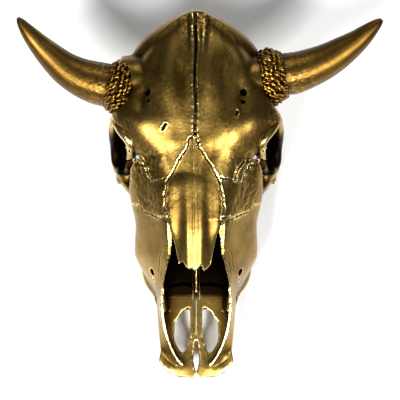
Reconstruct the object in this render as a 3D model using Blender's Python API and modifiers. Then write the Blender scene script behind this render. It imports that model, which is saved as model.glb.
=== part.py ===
"""A horned cow skull, painted gold: the cranium without its lower jaw, at life size.

The skull is drawn face up and in millimetres: X runs across it, Y from the muzzle to the poll and
Z out of the face. At the end it is tipped on to its last molars and its jugular processes, as it
rests on a floor, and turned into metres.

The bone is built in three steps. The bulky forms are lofted through cross-sections and fused, and
the hollows are cut out of them. The thin forms are then added and everything is fused again. Last,
the bones are parted from each other along their sutures.
"""

import math

import bmesh
import bpy
import numpy as np
from mathutils import Matrix, Vector

# How fine the fused bone is, and the least gap left along a suture
CORE_VOXEL = 3.0
BONE_VOXEL = 2.0
BONE_TRIANGLES = 7000
SUTURE_GAP = 0.3
RING_POINTS = 40

# The rest on the floor: the face plane leans back by this angle, in degrees, and the floor trims
# small flats on the last molars and the jugular processes at this height
REST_TILT = 9.53
FLOOR_HEIGHT = -30.4

# Cross-sections of the face, from the muzzle to the orbits: each row is the station, the height of
# the ridge, the shoulder beside the nasal bones, the widest line and the edge over the teeth
FACE = (
    (90, 46, (40, 42), (49, 18), (48, 7)),
    (104, 54, (39, 50), (50, 14), (52, 1)),
    (116, 62, (36, 57), (55, 10), (61, -9)),
    (128, 68, (32, 62), (62, 8), (67, -15)),
    (145, 76, (27, 70), (72, 8), (69, -20)),
    (162, 82, (24, 78), (80, 12), (68, -26)),
    (184, 85, (29, 79), (80, 16), (67, -31)),
    (204, 86, (32, 80), (79, 20), (66, -36)),
    (228, 87.5, (34, 80), (84, 26), (66, -43)),
    (246, 88, (36, 80), (87, 30), (64, -47)),
    (264, 88, (38, 80), (86, 38), (54, -44)),
    (284, 88.5, (40, 82), (84, 48), (44, -40)),
    (304, 89, (38, 84), (74, 54), (36, -36)),
    (320, 89, (30, 84), (52, 54), (28, -30)),
)

# The frontal shield: station, half-width, height on the midline, of its edge and of its underside,
# and how flat its top is (1.6 falls away from the midline, 2.4 is a broad shield)
FRONTAL = (
    (278, 62, 84.0, 58, 20, 1.6),
    (292, 76, 87.5, 60, 20, 1.7),
    (306, 86, 89.3, 62, 20, 1.9),
    (322, 98, 90.0, 61, 20, 2.1),
    (338, 110, 91.0, 58, 22, 2.3),
    (355, 100, 91.5, 60, 22, 2.4),
    (377, 89, 91.5, 60, 20, 2.4),
    (397, 80, 91.0, 58, 15, 2.4),
    (415, 71, 89.5, 55, 15, 2.4),
    (432, 61, 86.5, 52, 20, 2.3),
    (449, 46, 82.0, 48, 25, 2.2),
    (464, 30, 77.0, 44, 30, 2.2),
    (475, 14, 71.0, 52, 38, 2.2),
)

# The braincase: station, half-width, top, middle, bottom and roundness
BRAINCASE = (
    (286, 44, 60, 10, -34, 2.2),
    (315, 46, 70, 8, -40, 2.2),
    (345, 52, 74, 6, -46, 2.2),
    (375, 64, 76, 4, -50, 2.2),
    (400, 70, 74, 2, -52, 2.2),
    (425, 60, 66, 2, -46, 2.2),
)

# The back of the head, from the poll down: height, half-width, where the sides, the back and the
# front lie, and how gabled the back is (1.5 is a gable, 2 is round)
OCCIPUT = (
    (73, 54, 428, 474, 400, 1.45),
    (56, 80, 420, 477, 385, 1.45),
    (30, 84, 412, 464, 380, 1.7),
    (5, 88, 402, 447, 375, 2.0),
    (-20, 102, 396, 434, 370, 2.2),
    (-42, 94, 396, 426, 372, 2.2),
    (-60, 50, 398, 420, 380, 2.2),
    (-72, 24, 400, 412, 385, 2.2),
)

# The nasal cavity: station, top, half-width at the top, half-width of the middle, floor
NASAL_CAVITY = (
    (80, 60, 36, 40, 10),
    (100, 62, 36, 40, 9),
    (120, 64, 34, 44, 6),
    (140, 68, 31, 50, 2),
    (163, 74, 30, 56, -5),
    (190, 79, 29, 58, -13),
    (208, 74, 25, 52, -18),
    (222, 66, 20, 42, -20),
    (236, 50, 12, 24, -10),
)

# The upper edge of the wall round the nasal opening, seen from the side: station and height
OPENING_EDGE = (
    (60, 30), (96, 36), (112, 41), (130, 49), (152, 62), (165, 69), (182, 74), (197, 76), (209, 77.5),
)

# The nasal bones: station, half-width, height on the midline and at the edge
NASALS = (
    (148, 19, 76.5, 70),
    (160, 21.5, 79.0, 72),
    (182, 26, 84.2, 76),
    (205, 31.5, 86.8, 79.5),
    (240, 36, 88.2, 79.5),
    (270, 33, 88.6, 80),
)
NASAL_SHIFT = -3.7

# How far the free part of the nasal bones leans back to the middle, and the stations of that turn
NASAL_LEAN = 2.0
NASAL_LEAN_RUN = (220, 250)
NASAL_THICKNESS = 6.0

# The outline of the right nasal bone from its midline, and the slope of the face it sits on
NASAL_SUTURE = (
    (148, 19), (160, 21.5), (182, 26), (197, 29.5), (214, 33.5), (226, 36), (240, 36), (258, 32),
    (275, 23.5), (289, 15), (301, 7), (316, 1.5),
)
NASAL_BED = (42.8, 0.13)

# Heights clear above and below all bone, for a suture that parts it through and through
ROOF = 130.0
CELLAR = -120.0

# Where the right facial bones are parted, as outlines seen from above
INCISIVE_SUTURE = (
    (0.15, -6), (60, -6), (60, 106), (51, 112), (49.5, 126), (46.5, 160), (42, 172), (33, 168),
    (33, 108), (0.15, 108),
)
MAXILLA_SUTURE = (
    (0.15, 100), (112, 100), (112, 229), (75, 229), (66.5, 221), (52, 212.5), (39, 213), (0.15, 213),
)
MAXILLA_TUBER = ((22, 205), (78, 205), (78, 252), (62, 262), (22, 258))
MAXILLA_TUBER_TOP = 4.0
INCISIVE_BED = (-17.0, 0.35)
INCISIVE_FRONT = ((0.15, -6), (60, -6), (60, 107), (0.15, 107))
INCISIVE_FRONT_DEPTHS = (-40.0, 60.0)
LACRIMAL_BASE = 36.0
ZYGOMATIC_DEPTHS = (-45.0, 44.0)
LACRIMAL_SUTURE = (
    (30, 205), (80, 225), (82, 252), (110, 268), (110, 285), (80, 287), (66, 279), (60, 264),
    (57, 257), (50, 260), (30, 263),
)
ZYGOMATIC_SUTURE = (
    (74, 222), (130, 222), (130, 341), (90, 341), (97, 300), (90, 270), (80, 258), (74, 250),
)
TEMPORAL_SUTURE = ((60, 332), (130, 332), (130, 392), (108, 416), (60, 416))
TEMPORAL_BASE = -60.0
TEMPORAL_TOP = 12.0

# The frontal bones lie above one level, but for the necks of the horns, which they take with them
FRONTAL_SUTURE = ((0, 200), (140, 200), (140, 490), (0, 490))
FRONTAL_SHIFT = -1.2
FRONTAL_BASE = 44.0
HORN_NECK_SUTURE = ((68, 346), (140, 346), (140, 440), (68, 440))

# The rim of the right orbit, from the corner of the forehead round to the bar behind the eye
ORBIT_RIM = (
    (107, 337, 60),
    (97, 323, 68),
    (85, 309, 70),
    (83, 297, 60),
    (85, 284, 42),
    (92, 270, 20),
    (102, 268, 6),
    (109, 281, 0),
    (111, 304, 6),
    (111, 324, 32),
)
ORBIT_CENTRE = (100, 302, 33)
ORBIT_SIZE = (50, 32, 32)

# Rounded forms of the right side, and of the hollow behind the eye: place, half-sizes and turns
CHEEK = ((92, 262, 10), (21, 15, 15), (0, 0, 30))
MASTOID = ((84, 394, -26), (20, 18, 26), (0, 0, 0))
JAW_JOINT = ((76, 356, -20), (32, 15, 9), (0, 0, 0))
CONDYLE = ((26, 413, -60), (20, 17, 22), (20, 0, -20))
BULLA = ((46, 370, -66), (12, 20, 18), (0, 0, 0))
TEMPORAL_FOSSA = ((96, 362, 14), (36, 44, 32), (0, 0, 0))

# The neck of the right horn, the ear, the jugular process and the wing beside the throat, as lines
# with a radius. The base of the skull and the hole for the spinal cord are on the middle plane
HORN_NECK = ((62, 386, 50, 32), (80, 390, 47, 31), (100, 393, 46, 27))
EAR = ((74, 376, -40, 10), (96, 384, -37, 7))
JUGULAR = ((54, 400, -40, 17), (54, 398, -62, 13), (51, 391, -82, 9), (50, 384, -96, 6))
PTERYGOID = ((30, 240, -52, 16), (28, 262, -50, 20), (25, 290, -46, 20), (22, 318, -42, 14))
PTERYGOID_HALF_WIDTH = 3.2
SKULL_BASE = ((0, 300, -28, 18), (0, 340, -40, 18), (0, 380, -52, 18), (0, 410, -58, 17))
SKULL_BASE_HALF_WIDTH = 24
FORAMEN_MAGNUM = ((0, 444, -48, 18), (0, 420, -44, 18), (0, 395, -30, 16), (0, 385, -20, 10))
FORAMEN_MAGNUM_HALF_WIDTH = 19

# The vault of the palate: its first and last station, rise and half-width, and the stations from
# which it rises and narrows towards the throat, with how steeply
PALATE_RUN = (96, 330)
PALATE_RISE = 13
PALATE_HALF_WIDTH = 44
PALATE_DEPTH = 30
THROAT_RISE = (262, 0.35)
THROAT_NARROWING = (246, 0.25)

# The zygomatic arch, from the cheek back to the jaw joint, and its half-height along the way
ARCH = (
    (80, 236, 20, 13),
    (96, 252, 10, 12),
    (104, 272, 0, 10),
    (106, 300, -4, 9),
    (106, 326, -7, 9),
    (102, 348, -9, 9),
    (92, 366, -12, 11),
    (76, 384, -16, 14),
)
ARCH_HALF_DEPTH = 6.5

# The floor of the orbit, a shelf inside the arch, and the bar behind the eye
ORBIT_FLOOR = ((93, 258, 8, 8), (96, 284, -1, 8), (98, 310, -8, 7), (98, 338, -12, 6))
ORBIT_FLOOR_HALF_WIDTH = 12.0
ORBIT_BAR = ((105, 341, 57, 9), (110, 330, 36, 8), (112, 314, 10, 8), (108, 300, -6, 9))
ORBIT_BAR_HALF_WIDTH = 5.0

# The small openings for nerves: where each starts above the bone, where it ends, and its radius
FORAMINA = (
    ((62, 374, 100), (58, 364, 62), 3.2),
    ((60, 360, 100), (58, 356, 66), 2.0),
    ((66, 134, 38), (44, 152, 22), 5.0),
)

# The wall of the incisive bone: station, inner edge at the top, outer edge at the bottom
INCISIVE = (
    (120, (43, 43), (53, 4)),
    (104, (45, 38), (50, 7)),
    (88, (44.5, 34), (49, 10)),
    (72, (42, 31), (48, 12)),
    (56, (38, 29), (46.5, 14)),
    (40, (32, 27), (45, 15)),
    (28, (25, 26), (42, 17)),
    (20, (19, 24), (34, 18)),
)
INCISIVE_THICKNESS = 4.4

# The flat part of the right incisive bone, the oval opening through it, and the slit beside it
INCISIVE_PLATE = (
    (0.9, 4), (8, 3), (20, 3.5), (32, 7), (44, 17), (49, 25), (46, 43), (49, 66), (50.5, 90),
    (52, 112), (0.9, 116),
)
INCISIVE_OPENING = (
    (9, 92), (17, 90), (22, 82), (27.5, 75), (28, 66), (28.6, 53), (25, 43), (18.5, 34.5),
    (13.5, 38.5), (12.2, 47), (8.8, 54), (8.3, 78),
)
INCISIVE_SLIT = (
    (-0.2, 92), (-0.9, 50), (-3.4, 34), (-3.6, 24), (0, 8), (3.6, 24), (3.4, 34), (0.9, 50), (0.2, 92),
)
INCISIVE_PLATE_HEIGHT = (20.0, -0.11)
INCISIVE_PLATE_THICKNESS = 8.0
MUZZLE_END = 2.0

# The horns: the line down the middle of each, with its radius
HORN_LEFT = (
    (-106, 381, 46, 28.3),
    (-130.7, 386, 47, 27.0),
    (-150, 393, 50, 24.4),
    (-169, 404, 55, 21.1),
    (-186.6, 419.5, 62, 17.2),
    (-201, 434, 69, 13.3),
    (-213, 448, 76, 9.3),
    (-221, 459, 81, 5.2),
    (-224, 464, 83, 2.0),
)
HORN_RIGHT = (
    (105, 394.5, 46, 27.7),
    (129, 398.8, 47, 26.4),
    (149.5, 405.5, 50, 24.4),
    (170.8, 415, 55, 21.8),
    (189, 426, 61, 18.5),
    (205, 437, 68, 14.6),
    (218, 448, 75, 10.7),
    (229, 457.5, 80, 6.2),
    (234, 461.5, 82.5, 2.4),
)

# The rough collar at the foot of a horn: distance out from the middle plane, and radius
COLLAR = ((84, 32.5), (88, 36.5), (95, 38), (103, 35.5), (109, 31.5), (112, 29.5))

# The cheek teeth of one side: three small and three large, as length and width
TEETH = ((17, 16), (18, 18), (19, 20), (24, 22), (26, 23), (27, 22))
TOOTH_ROW_START = (50.0, 103.0)
TOOTH_ROW_END = (59.0, 245.0)
CROWN_HEIGHT = 22.0
PALATE_SLOPE = 0.2985

# The vomer, a low crest along the floor of the nose, and the bed that it is parted from
VOMER = ((0, 112, 12, 5), (0, 140, 8, 12), (0, 180, 2, 22), (0, 225, -6, 30))
VOMER_HALF_WIDTH = 3.0
VOMER_BED = ((-4.2, 103), (4.2, 103), (4.2, 250), (-4.2, 250))
VOMER_BED_DEPTHS = (-2.0, 64.0)
VOMER_BED_SLOPE = -0.12

FLOOR_BONES = ("cranium", "maxilla_left", "maxilla_right")
GOLD = (0.55, 0.38, 0.10)
COLLAR_GOLD = (0.36, 0.22, 0.06)


def clear_scene():
    for obj in list(bpy.data.objects):
        bpy.data.objects.remove(obj, do_unlink=True)


def collection(name):
    made = bpy.data.collections.new(name)
    bpy.context.scene.collection.children.link(made)
    return made


def mesh_object(name, verts, faces):
    mesh = bpy.data.meshes.new(name)
    mesh.from_pydata([tuple(map(float, v)) for v in verts], [], faces)
    mesh.validate()
    obj = bpy.data.objects.new(name, mesh)
    WORKSHOP.objects.link(obj)
    return obj


def between(a, b, c, d, t):
    """The point at t from b to c on a smooth curve through all four (Catmull-Rom)."""
    bend = (3 * b - a - 3 * c + d) * t**3
    return 0.5 * (2 * b + (c - a) * t + (2 * a - 5 * b + 4 * c - d) * t**2 + bend)


def curve_through(rows, count):
    """Rows of numbers read at even steps along a smooth curve through them."""
    rows = np.array(rows, float)
    padded = np.vstack([2 * rows[0] - rows[1], rows, 2 * rows[-1] - rows[-2]])
    found = []
    for place in np.linspace(0, len(rows) - 1, count):
        i = min(int(place), len(rows) - 2)
        found.append(between(*padded[i : i + 4], place - i))
    return np.array(found)


def closed_curve(points, count):
    """A closed smooth curve through points, read at even steps."""
    points = np.array(points, float)
    turn = np.vstack([points[-1:], points, points[:2]])
    found = []
    for place in np.linspace(0, len(points), count, endpoint=False):
        i = int(place)
        found.append(between(*turn[i : i + 4], place - i))
    return np.array(found)


def loft(name, rings):
    """A closed solid through rings that all have the same number of points."""
    count = len(rings[0])
    verts = np.vstack(rings)
    faces = []
    for r in range(len(rings) - 1):
        for i in range(count):
            j = (i + 1) % count
            faces.append((r * count + i, r * count + j, (r + 1) * count + j, (r + 1) * count + i))
    faces.append(tuple(reversed(range(count))))
    last = (len(rings) - 1) * count
    faces.append(tuple(range(last, last + count)))
    obj = mesh_object(name, verts, faces)
    face_outward(obj)
    return obj


def face_outward(obj):
    shape = bmesh.new()
    shape.from_mesh(obj.data)
    bmesh.ops.recalc_face_normals(shape, faces=shape.faces)
    if shape.calc_volume(signed=True) < 0:
        bmesh.ops.reverse_faces(shape, faces=shape.faces)
    shape.to_mesh(obj.data)
    shape.free()


def superellipse(half_width, up, down, round_up=2.2, round_down=2.2):
    """A ring of (across, height) points about its own middle."""
    angles = np.linspace(0, 2 * math.pi, RING_POINTS, endpoint=False)
    ring = []
    for angle in angles:
        c, s = math.cos(angle), math.sin(angle)
        power = 2 / (round_up if s >= 0 else round_down)
        reach = up if s >= 0 else down
        x = math.copysign(abs(c) ** power, c)
        ring.append((x * half_width, math.copysign(abs(s) ** power, s) * reach))
    return np.array(ring)


def tube(name, rows, flat=None, steps=24, sides=20):
    """A tube along rows of (x, y, z, radius). A flat one has half its thickness given sideways."""
    path = curve_through(rows, steps)
    centres, radii = path[:, :3], path[:, 3]
    rings = []
    for i, centre in enumerate(centres):
        ahead = centres[min(i + 1, steps - 1)] - centres[max(i - 1, 0)]
        along = Vector(ahead).normalized()
        up = Vector((0, 0, 1))
        side = along.cross(up).normalized()
        up = side.cross(along).normalized()
        angles = np.linspace(0, 2 * math.pi, sides, endpoint=False)
        wide = radii[i] if flat is None else flat
        rings.append(np.array([
            Vector(centre) + side * (math.cos(a) * wide) + up * (math.sin(a) * radii[i]) for a in angles
        ]))
    return loft(name, rings)


def ball(name, centre, size, turn=(0, 0, 0)):
    mesh = bpy.data.meshes.new(name)
    shape = bmesh.new()
    bmesh.ops.create_uvsphere(shape, u_segments=24, v_segments=14, radius=1.0)
    spin = Matrix.Rotation(math.radians(turn[2]), 4, "Z") @ Matrix.Rotation(math.radians(turn[1]), 4, "Y")
    spin = spin @ Matrix.Rotation(math.radians(turn[0]), 4, "X")
    shape.transform(Matrix.Translation(centre) @ spin @ Matrix.Diagonal((*size, 1)))
    shape.to_mesh(mesh)
    shape.free()
    obj = bpy.data.objects.new(name, mesh)
    WORKSHOP.objects.link(obj)
    return obj


def box(name, centre, size, turn_x=0.0, rounding=0.0):
    mesh = bpy.data.meshes.new(name)
    shape = bmesh.new()
    bmesh.ops.create_cube(shape, size=1.0)
    bmesh.ops.scale(shape, vec=size, verts=shape.verts)
    if rounding:
        bmesh.ops.bevel(shape, geom=shape.edges, offset=rounding, segments=2, affect="EDGES")
    shape.transform(Matrix.Translation(centre) @ Matrix.Rotation(math.radians(turn_x), 4, "X"))
    shape.to_mesh(mesh)
    shape.free()
    obj = bpy.data.objects.new(name, mesh)
    WORKSHOP.objects.link(obj)
    return obj


def prism(name, outline, low, high, slope=0.0):
    """An upright solid on an outline of (x, y) points, whose two ends may slope along Y."""
    count = len(outline)
    verts = [(x, y, low + slope * y) for x, y in outline]
    verts += [(x, y, high + slope * y) for x, y in outline]
    faces = [tuple(range(count)), tuple(range(count, 2 * count))]
    for i in range(count):
        j = (i + 1) % count
        faces.append((i, j, count + j, count + i))
    obj = mesh_object(name, verts, faces)
    face_outward(obj)
    return obj


def mirrored(obj):
    """A copy of obj on the other side of the middle plane."""
    mesh = obj.data.copy()
    mesh.transform(Matrix.Diagonal((-1, 1, 1, 1)))
    mesh.flip_normals()
    copy = bpy.data.objects.new(obj.name.replace("right", "left"), mesh)
    WORKSHOP.objects.link(copy)
    return copy


def both(obj):
    return [obj, mirrored(obj)]


def copy_of(obj, name):
    copy = bpy.data.objects.new(name, obj.data.copy())
    WORKSHOP.objects.link(copy)
    return copy


def join(name, objects):
    shape = bmesh.new()
    for obj in objects:
        shape.from_mesh(obj.data)
        bpy.data.objects.remove(obj, do_unlink=True)
    mesh = bpy.data.meshes.new(name)
    shape.to_mesh(mesh)
    shape.free()
    joined = bpy.data.objects.new(name, mesh)
    WORKSHOP.objects.link(joined)
    return joined


def apply_modifiers(obj):
    graph = bpy.context.evaluated_depsgraph_get()
    mesh = bpy.data.meshes.new_from_object(obj.evaluated_get(graph))
    obj.modifiers.clear()
    obj.data = mesh


def fuse(obj, voxel, smoothing):
    """Fuses overlapping closed shapes into one skin and rounds where they meet."""
    remesh = obj.modifiers.new("fuse", "REMESH")
    remesh.mode = "VOXEL"
    remesh.voxel_size = voxel
    smooth = obj.modifiers.new("round", "SMOOTH")
    smooth.factor = 0.5
    smooth.iterations = smoothing
    apply_modifiers(obj)


def boolean(obj, other, operation):
    change = obj.modifiers.new("cut", "BOOLEAN")
    change.operation = operation
    change.object = other
    apply_modifiers(obj)


def cut(obj, cutter):
    boolean(obj, cutter, "DIFFERENCE")
    bpy.data.objects.remove(cutter, do_unlink=True)


def grow(obj, distance):
    """Pushes every face of a closed shape outward by at least this distance."""
    push = obj.modifiers.new("grow", "DISPLACE")
    push.strength = distance * 1.75
    push.mid_level = 0.0
    apply_modifiers(obj)


def part_off(bone, name, region):
    """Takes the piece inside a region out of the bone, and leaves the suture gap between them."""
    piece = copy_of(bone, name)
    boolean(piece, region, "INTERSECT")
    keep_largest(piece)
    grow(region, SUTURE_GAP)
    cut(bone, region)
    return piece


def keep_largest(obj):
    """Drops every loose crumb that a cut left beside the main body."""
    shape = bmesh.new()
    shape.from_mesh(obj.data)
    waiting = set(shape.verts)
    largest = set()
    while waiting:
        group = {waiting.pop()}
        edge = list(group)
        while edge:
            vert = edge.pop()
            for link in vert.link_edges:
                other = link.other_vert(vert)
                if other in waiting:
                    waiting.discard(other)
                    group.add(other)
                    edge.append(other)
        if len(group) > len(largest):
            largest = group
    bmesh.ops.delete(shape, geom=[v for v in shape.verts if v not in largest], context="VERTS")
    shape.to_mesh(obj.data)
    shape.free()


def alveolar_height(y):
    """The height of the bony edge over the teeth at a station."""
    return -10 - PALATE_SLOPE * (y - 106)


def face_loft():
    rows = []
    for y, top, shoulder, widest, edge in FACE:
        wall = ((shoulder[0] + widest[0]) / 2 + 3, (shoulder[1] + widest[1]) / 2 + 2)
        low = ((widest[0] + edge[0]) / 2, (widest[1] + edge[1]) / 2)
        rows.append([y, 0, top, *shoulder, *wall, *widest, *low, *edge, 0, edge[1] + 1])
    rings = []
    for row in curve_through(rows, 36):
        y, points = row[0], row[1:].reshape(-1, 2)
        half = [tuple(p) for p in points]
        other = [(-x, z) for x, z in reversed(half[1:-1])]
        ring = closed_curve(half + other, RING_POINTS)
        rings.append(np.column_stack([ring[:, 0], np.full(len(ring), y), ring[:, 1]]))
    return loft("face", rings)


def section_loft(name, rows, steps, round_down=2.2):
    """A loft along Y through rows of station, half-width, top, middle, bottom and roundness."""
    rings = []
    for y, width, top, middle, bottom, round_up in curve_through(rows, steps):
        ring = superellipse(max(width, 1), top - middle, middle - bottom, round_up, round_down)
        rings.append(np.column_stack([ring[:, 0], np.full(len(ring), y), ring[:, 1] + middle]))
    return loft(name, rings)


def occiput_loft():
    rings = []
    for z, width, side, back, front, gable in curve_through(OCCIPUT, 26):
        ring = superellipse(width, back - side, side - front, gable, 2.4)
        rings.append(np.column_stack([ring[:, 0], ring[:, 1] + side, np.full(len(ring), z)]))
    return loft("occiput", rings)


def build_core():
    """The bulky bone, fused, with its hollows cut out."""
    pieces = [
        face_loft(),
        section_loft("frontal", FRONTAL, 36, 1.15),
        section_loft("braincase", BRAINCASE, 20),
        occiput_loft(),
    ]
    for form in (CHEEK, MASTOID, JAW_JOINT, CONDYLE, BULLA):
        pieces += both(ball("form_right", *form))
    for line in (HORN_NECK, EAR, JUGULAR):
        pieces += both(tube("form_right", line))
    pieces.append(tube("base", SKULL_BASE, flat=SKULL_BASE_HALF_WIDTH))
    core = join("core", pieces)
    fuse(core, CORE_VOXEL, 3)
    cut(core, cavity_cutter())
    cut(core, opening_cutter())
    cut(core, palate_cutter())
    for orbit in both(ball("orbit_right", ORBIT_CENTRE, ORBIT_SIZE)):
        cut(core, orbit)
    for fossa in both(ball("fossa_right", *TEMPORAL_FOSSA)):
        cut(core, fossa)
    cut(core, tube("foramen_magnum", FORAMEN_MAGNUM, flat=FORAMEN_MAGNUM_HALF_WIDTH))
    return core


def cavity_cutter():
    rings = []
    for y, top, narrow, wide, floor in curve_through(NASAL_CAVITY, 22):
        middle = (top + floor) / 2 - 6
        half = [(0, top), (narrow, top - 4), (wide, middle), (wide * 0.8, floor + 3), (0, floor)]
        other = [(-x, z) for x, z in reversed(half[1:-1])]
        ring = closed_curve(half + other, RING_POINTS)
        rings.append(np.column_stack([ring[:, 0], np.full(len(ring), y), ring[:, 1]]))
    return loft("nasal_cavity", rings)


def opening_cutter():
    """Takes away all that stands above the edge of the nasal opening."""
    roof = 120
    profile = list(OPENING_EDGE) + [(OPENING_EDGE[-1][0], roof), (OPENING_EDGE[0][0], roof)]
    count = len(profile)
    verts = [(-90, y, z) for y, z in profile] + [(90, y, z) for y, z in profile]
    faces = [tuple(range(count)), tuple(range(count, 2 * count))]
    for i in range(count):
        j = (i + 1) % count
        faces.append((i, j, count + j, count + i))
    obj = mesh_object("nasal_opening", verts, faces)
    face_outward(obj)
    return obj


def palate_cutter():
    """The vault of the palate, and the opening behind it between the two wings of bone."""
    rings = []
    for y in np.linspace(*PALATE_RUN, 20):
        rise = PALATE_RISE + max(0, y - THROAT_RISE[0]) * THROAT_RISE[1]
        width = PALATE_HALF_WIDTH - max(0, y - THROAT_NARROWING[0]) * THROAT_NARROWING[1]
        ring = superellipse(width, rise + 4, PALATE_DEPTH, 3.0, 3.0)
        heights = ring[:, 1] + alveolar_height(y) - 4
        rings.append(np.column_stack([ring[:, 0], np.full(len(ring), y), heights]))
    return loft("palate", rings)


def nasal_middle(y):
    """Where the middle of both nasal bones lies at a station."""
    start, end = NASAL_LEAN_RUN
    return NASAL_SHIFT + NASAL_LEAN * min(max((end - y) / (end - start), 0), 1)


def nasal_shell():
    rings = []
    for y, width, top, edge in curve_through(NASALS, 26):
        across = np.linspace(-1, 1, 17)
        upper = [(a * width + nasal_middle(y), edge + (top - edge) * (1 - abs(a) ** 2.2)) for a in across]
        lower = [(x, z - NASAL_THICKNESS) for x, z in reversed(upper)]
        ring = np.array(upper + lower)
        rings.append(np.column_stack([ring[:, 0], np.full(len(ring), y), ring[:, 1]]))
    return loft("nasals", rings)


def incisive_wall():
    rings = []
    for row in curve_through([(y, *top, *low) for y, top, low in INCISIVE], 18):
        y, top_x, top_z, low_x, low_z = row
        half = INCISIVE_THICKNESS / 2
        ring = [
            (top_x - half, top_z),
            (top_x, top_z + 1.5),
            (top_x + half, top_z),
            ((top_x + low_x) / 2 + half + 1.5, (top_z + low_z) / 2),
            (low_x + half, low_z + 2),
            (low_x - 1, low_z - 2),
            (low_x - 6, low_z + 1),
            ((top_x + low_x) / 2 - half, (top_z + low_z) / 2),
        ]
        ring = closed_curve(ring, 24)
        rings.append(np.column_stack([ring[:, 0], np.full(len(ring), y), ring[:, 1]]))
    return loft("incisive_wall_right", rings)


def incisive_plates():
    """The flat part of both incisive bones, with the two oval openings and the slit between."""
    height, slope = INCISIVE_PLATE_HEIGHT
    half = INCISIVE_PLATE_THICKNESS / 2
    outline = closed_curve(INCISIVE_PLATE, 80)
    outline[:, 0] = np.maximum(outline[:, 0], -0.5)
    outline[:, 1] = np.maximum(outline[:, 1], MUZZLE_END)
    plate = join("incisive_plates", both(prism("plate_right", outline, height - half, height + half, slope)))
    fuse(plate, 1.2, 1)
    opening = closed_curve(INCISIVE_OPENING, 60)
    for cutter in both(prism("opening_right", opening, height - 20, height + 20, slope)):
        cut(plate, cutter)
    cut(plate, prism("slit", INCISIVE_SLIT, height - 20, height + 20, slope))
    return plate


def teeth():
    """The cheek teeth of the right side, hanging from the bony edge above them."""
    pieces = []
    lengths = [length for length, width in TEETH]
    total = sum(lengths)
    start, end = Vector(TOOTH_ROW_START), Vector(TOOTH_ROW_END)
    run = 0.0
    for i, (length, width) in enumerate(TEETH):
        place = start.lerp(end, (run + length / 2) / total)
        run += length
        top = alveolar_height(place.y) + 8
        centre = (place.x, place.y + 2.5, top - (CROWN_HEIGHT + 8) / 2)
        pieces.append(box(f"tooth_{i}_right", centre, (width, length * 1.03, CROWN_HEIGHT + 8), -16.6, 3.0))
    return pieces


def build_bone():
    """The whole skull as one skin."""
    core = build_core()
    pieces = [core, nasal_shell()]
    pieces += both(incisive_wall())
    pieces.append(incisive_plates())
    pieces.append(tube("vomer_crest", VOMER, flat=VOMER_HALF_WIDTH))
    pieces += both(tube("arch_right", ARCH, flat=ARCH_HALF_DEPTH, steps=28))
    rim = [(*point, 5.5) for point in ORBIT_RIM] + [(*ORBIT_RIM[0], 5.5)]
    pieces += both(tube("rim_right", rim, steps=44, sides=12))
    pieces += both(tube("bar_right", ORBIT_BAR, flat=ORBIT_BAR_HALF_WIDTH))
    pieces += both(tube("orbit_floor_right", ORBIT_FLOOR, flat=ORBIT_FLOOR_HALF_WIDTH))
    for tooth in teeth():
        pieces += both(tooth)
    pieces += both(tube("pterygoid_right", PTERYGOID, flat=PTERYGOID_HALF_WIDTH))
    bone = join("bone", pieces)
    fuse(bone, BONE_VOXEL, 2)
    for start, end, radius in FORAMINA:
        for hole in both(tube("foramen_right", ((*start, radius), (*end, radius)), steps=3, sides=8)):
            cut(bone, hole)
    return bone


def nasal_region(side):
    low, slope = NASAL_BED
    inner = [(NASAL_SHIFT + side * SUTURE_GAP / 2, y) for y in (320, 140)]
    outline = inner + [(nasal_middle(y) + side * (x + 1), y) for y, x in ((140, 19), *NASAL_SUTURE)]
    return prism("region", outline, low, ROOF, slope)


def incisive_region():
    low, slope = INCISIVE_BED
    body = prism("region", INCISIVE_SUTURE, low, ROOF, slope)
    front = prism("front", INCISIVE_FRONT, *INCISIVE_FRONT_DEPTHS)
    boolean(body, front, "UNION")
    bpy.data.objects.remove(front, do_unlink=True)
    return body


def maxilla_region():
    body = prism("region", MAXILLA_SUTURE, CELLAR, ROOF)
    tuber = prism("tuber", MAXILLA_TUBER, CELLAR, MAXILLA_TUBER_TOP)
    boolean(body, tuber, "UNION")
    bpy.data.objects.remove(tuber, do_unlink=True)
    return body


def frontal_region(side):
    outline = [(FRONTAL_SHIFT + side * (x + SUTURE_GAP / 2), y) for x, y in FRONTAL_SUTURE]
    body = prism("region", outline, FRONTAL_BASE, ROOF)
    neck = prism("neck", [(side * x, y) for x, y in HORN_NECK_SUTURE], TEMPORAL_TOP, ROOF)
    boolean(body, neck, "UNION")
    bpy.data.objects.remove(neck, do_unlink=True)
    return body


def part_bones(bone):
    """Parts the skull into its bones along the sutures. What is left over is the braincase."""
    pieces = [part_off(bone, "nasal_right", nasal_region(1)), part_off(bone, "nasal_left", nasal_region(-1))]
    bed = prism("region", VOMER_BED, *VOMER_BED_DEPTHS, VOMER_BED_SLOPE)
    pieces.append(part_off(bone, "vomer", bed))
    regions = (
        ("incisive_right", incisive_region()),
        ("maxilla_right", maxilla_region()),
        ("zygomatic_right", prism("region", ZYGOMATIC_SUTURE, *ZYGOMATIC_DEPTHS)),
        ("lacrimal_right", prism("region", LACRIMAL_SUTURE, LACRIMAL_BASE, ROOF)),
        ("temporal_right", prism("region", TEMPORAL_SUTURE, TEMPORAL_BASE, TEMPORAL_TOP)),
    )
    for name, region in regions:
        other = mirrored(region)
        pieces.append(part_off(bone, name, region))
        pieces.append(part_off(bone, name.replace("right", "left"), other))
    pieces.append(part_off(bone, "frontal_right", frontal_region(1)))
    pieces.append(part_off(bone, "frontal_left", frontal_region(-1)))
    keep_largest(bone)
    bone.name = "cranium"
    return pieces


def horn_line(rows, across):
    """The point of a horn's middle line, carried on straight inward, at a distance across."""
    first, second = Vector(rows[0][:3]), Vector(rows[1][:3])
    t = (abs(across) - abs(first.x)) / (abs(second.x) - abs(first.x))
    return first.lerp(second, t)


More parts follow.
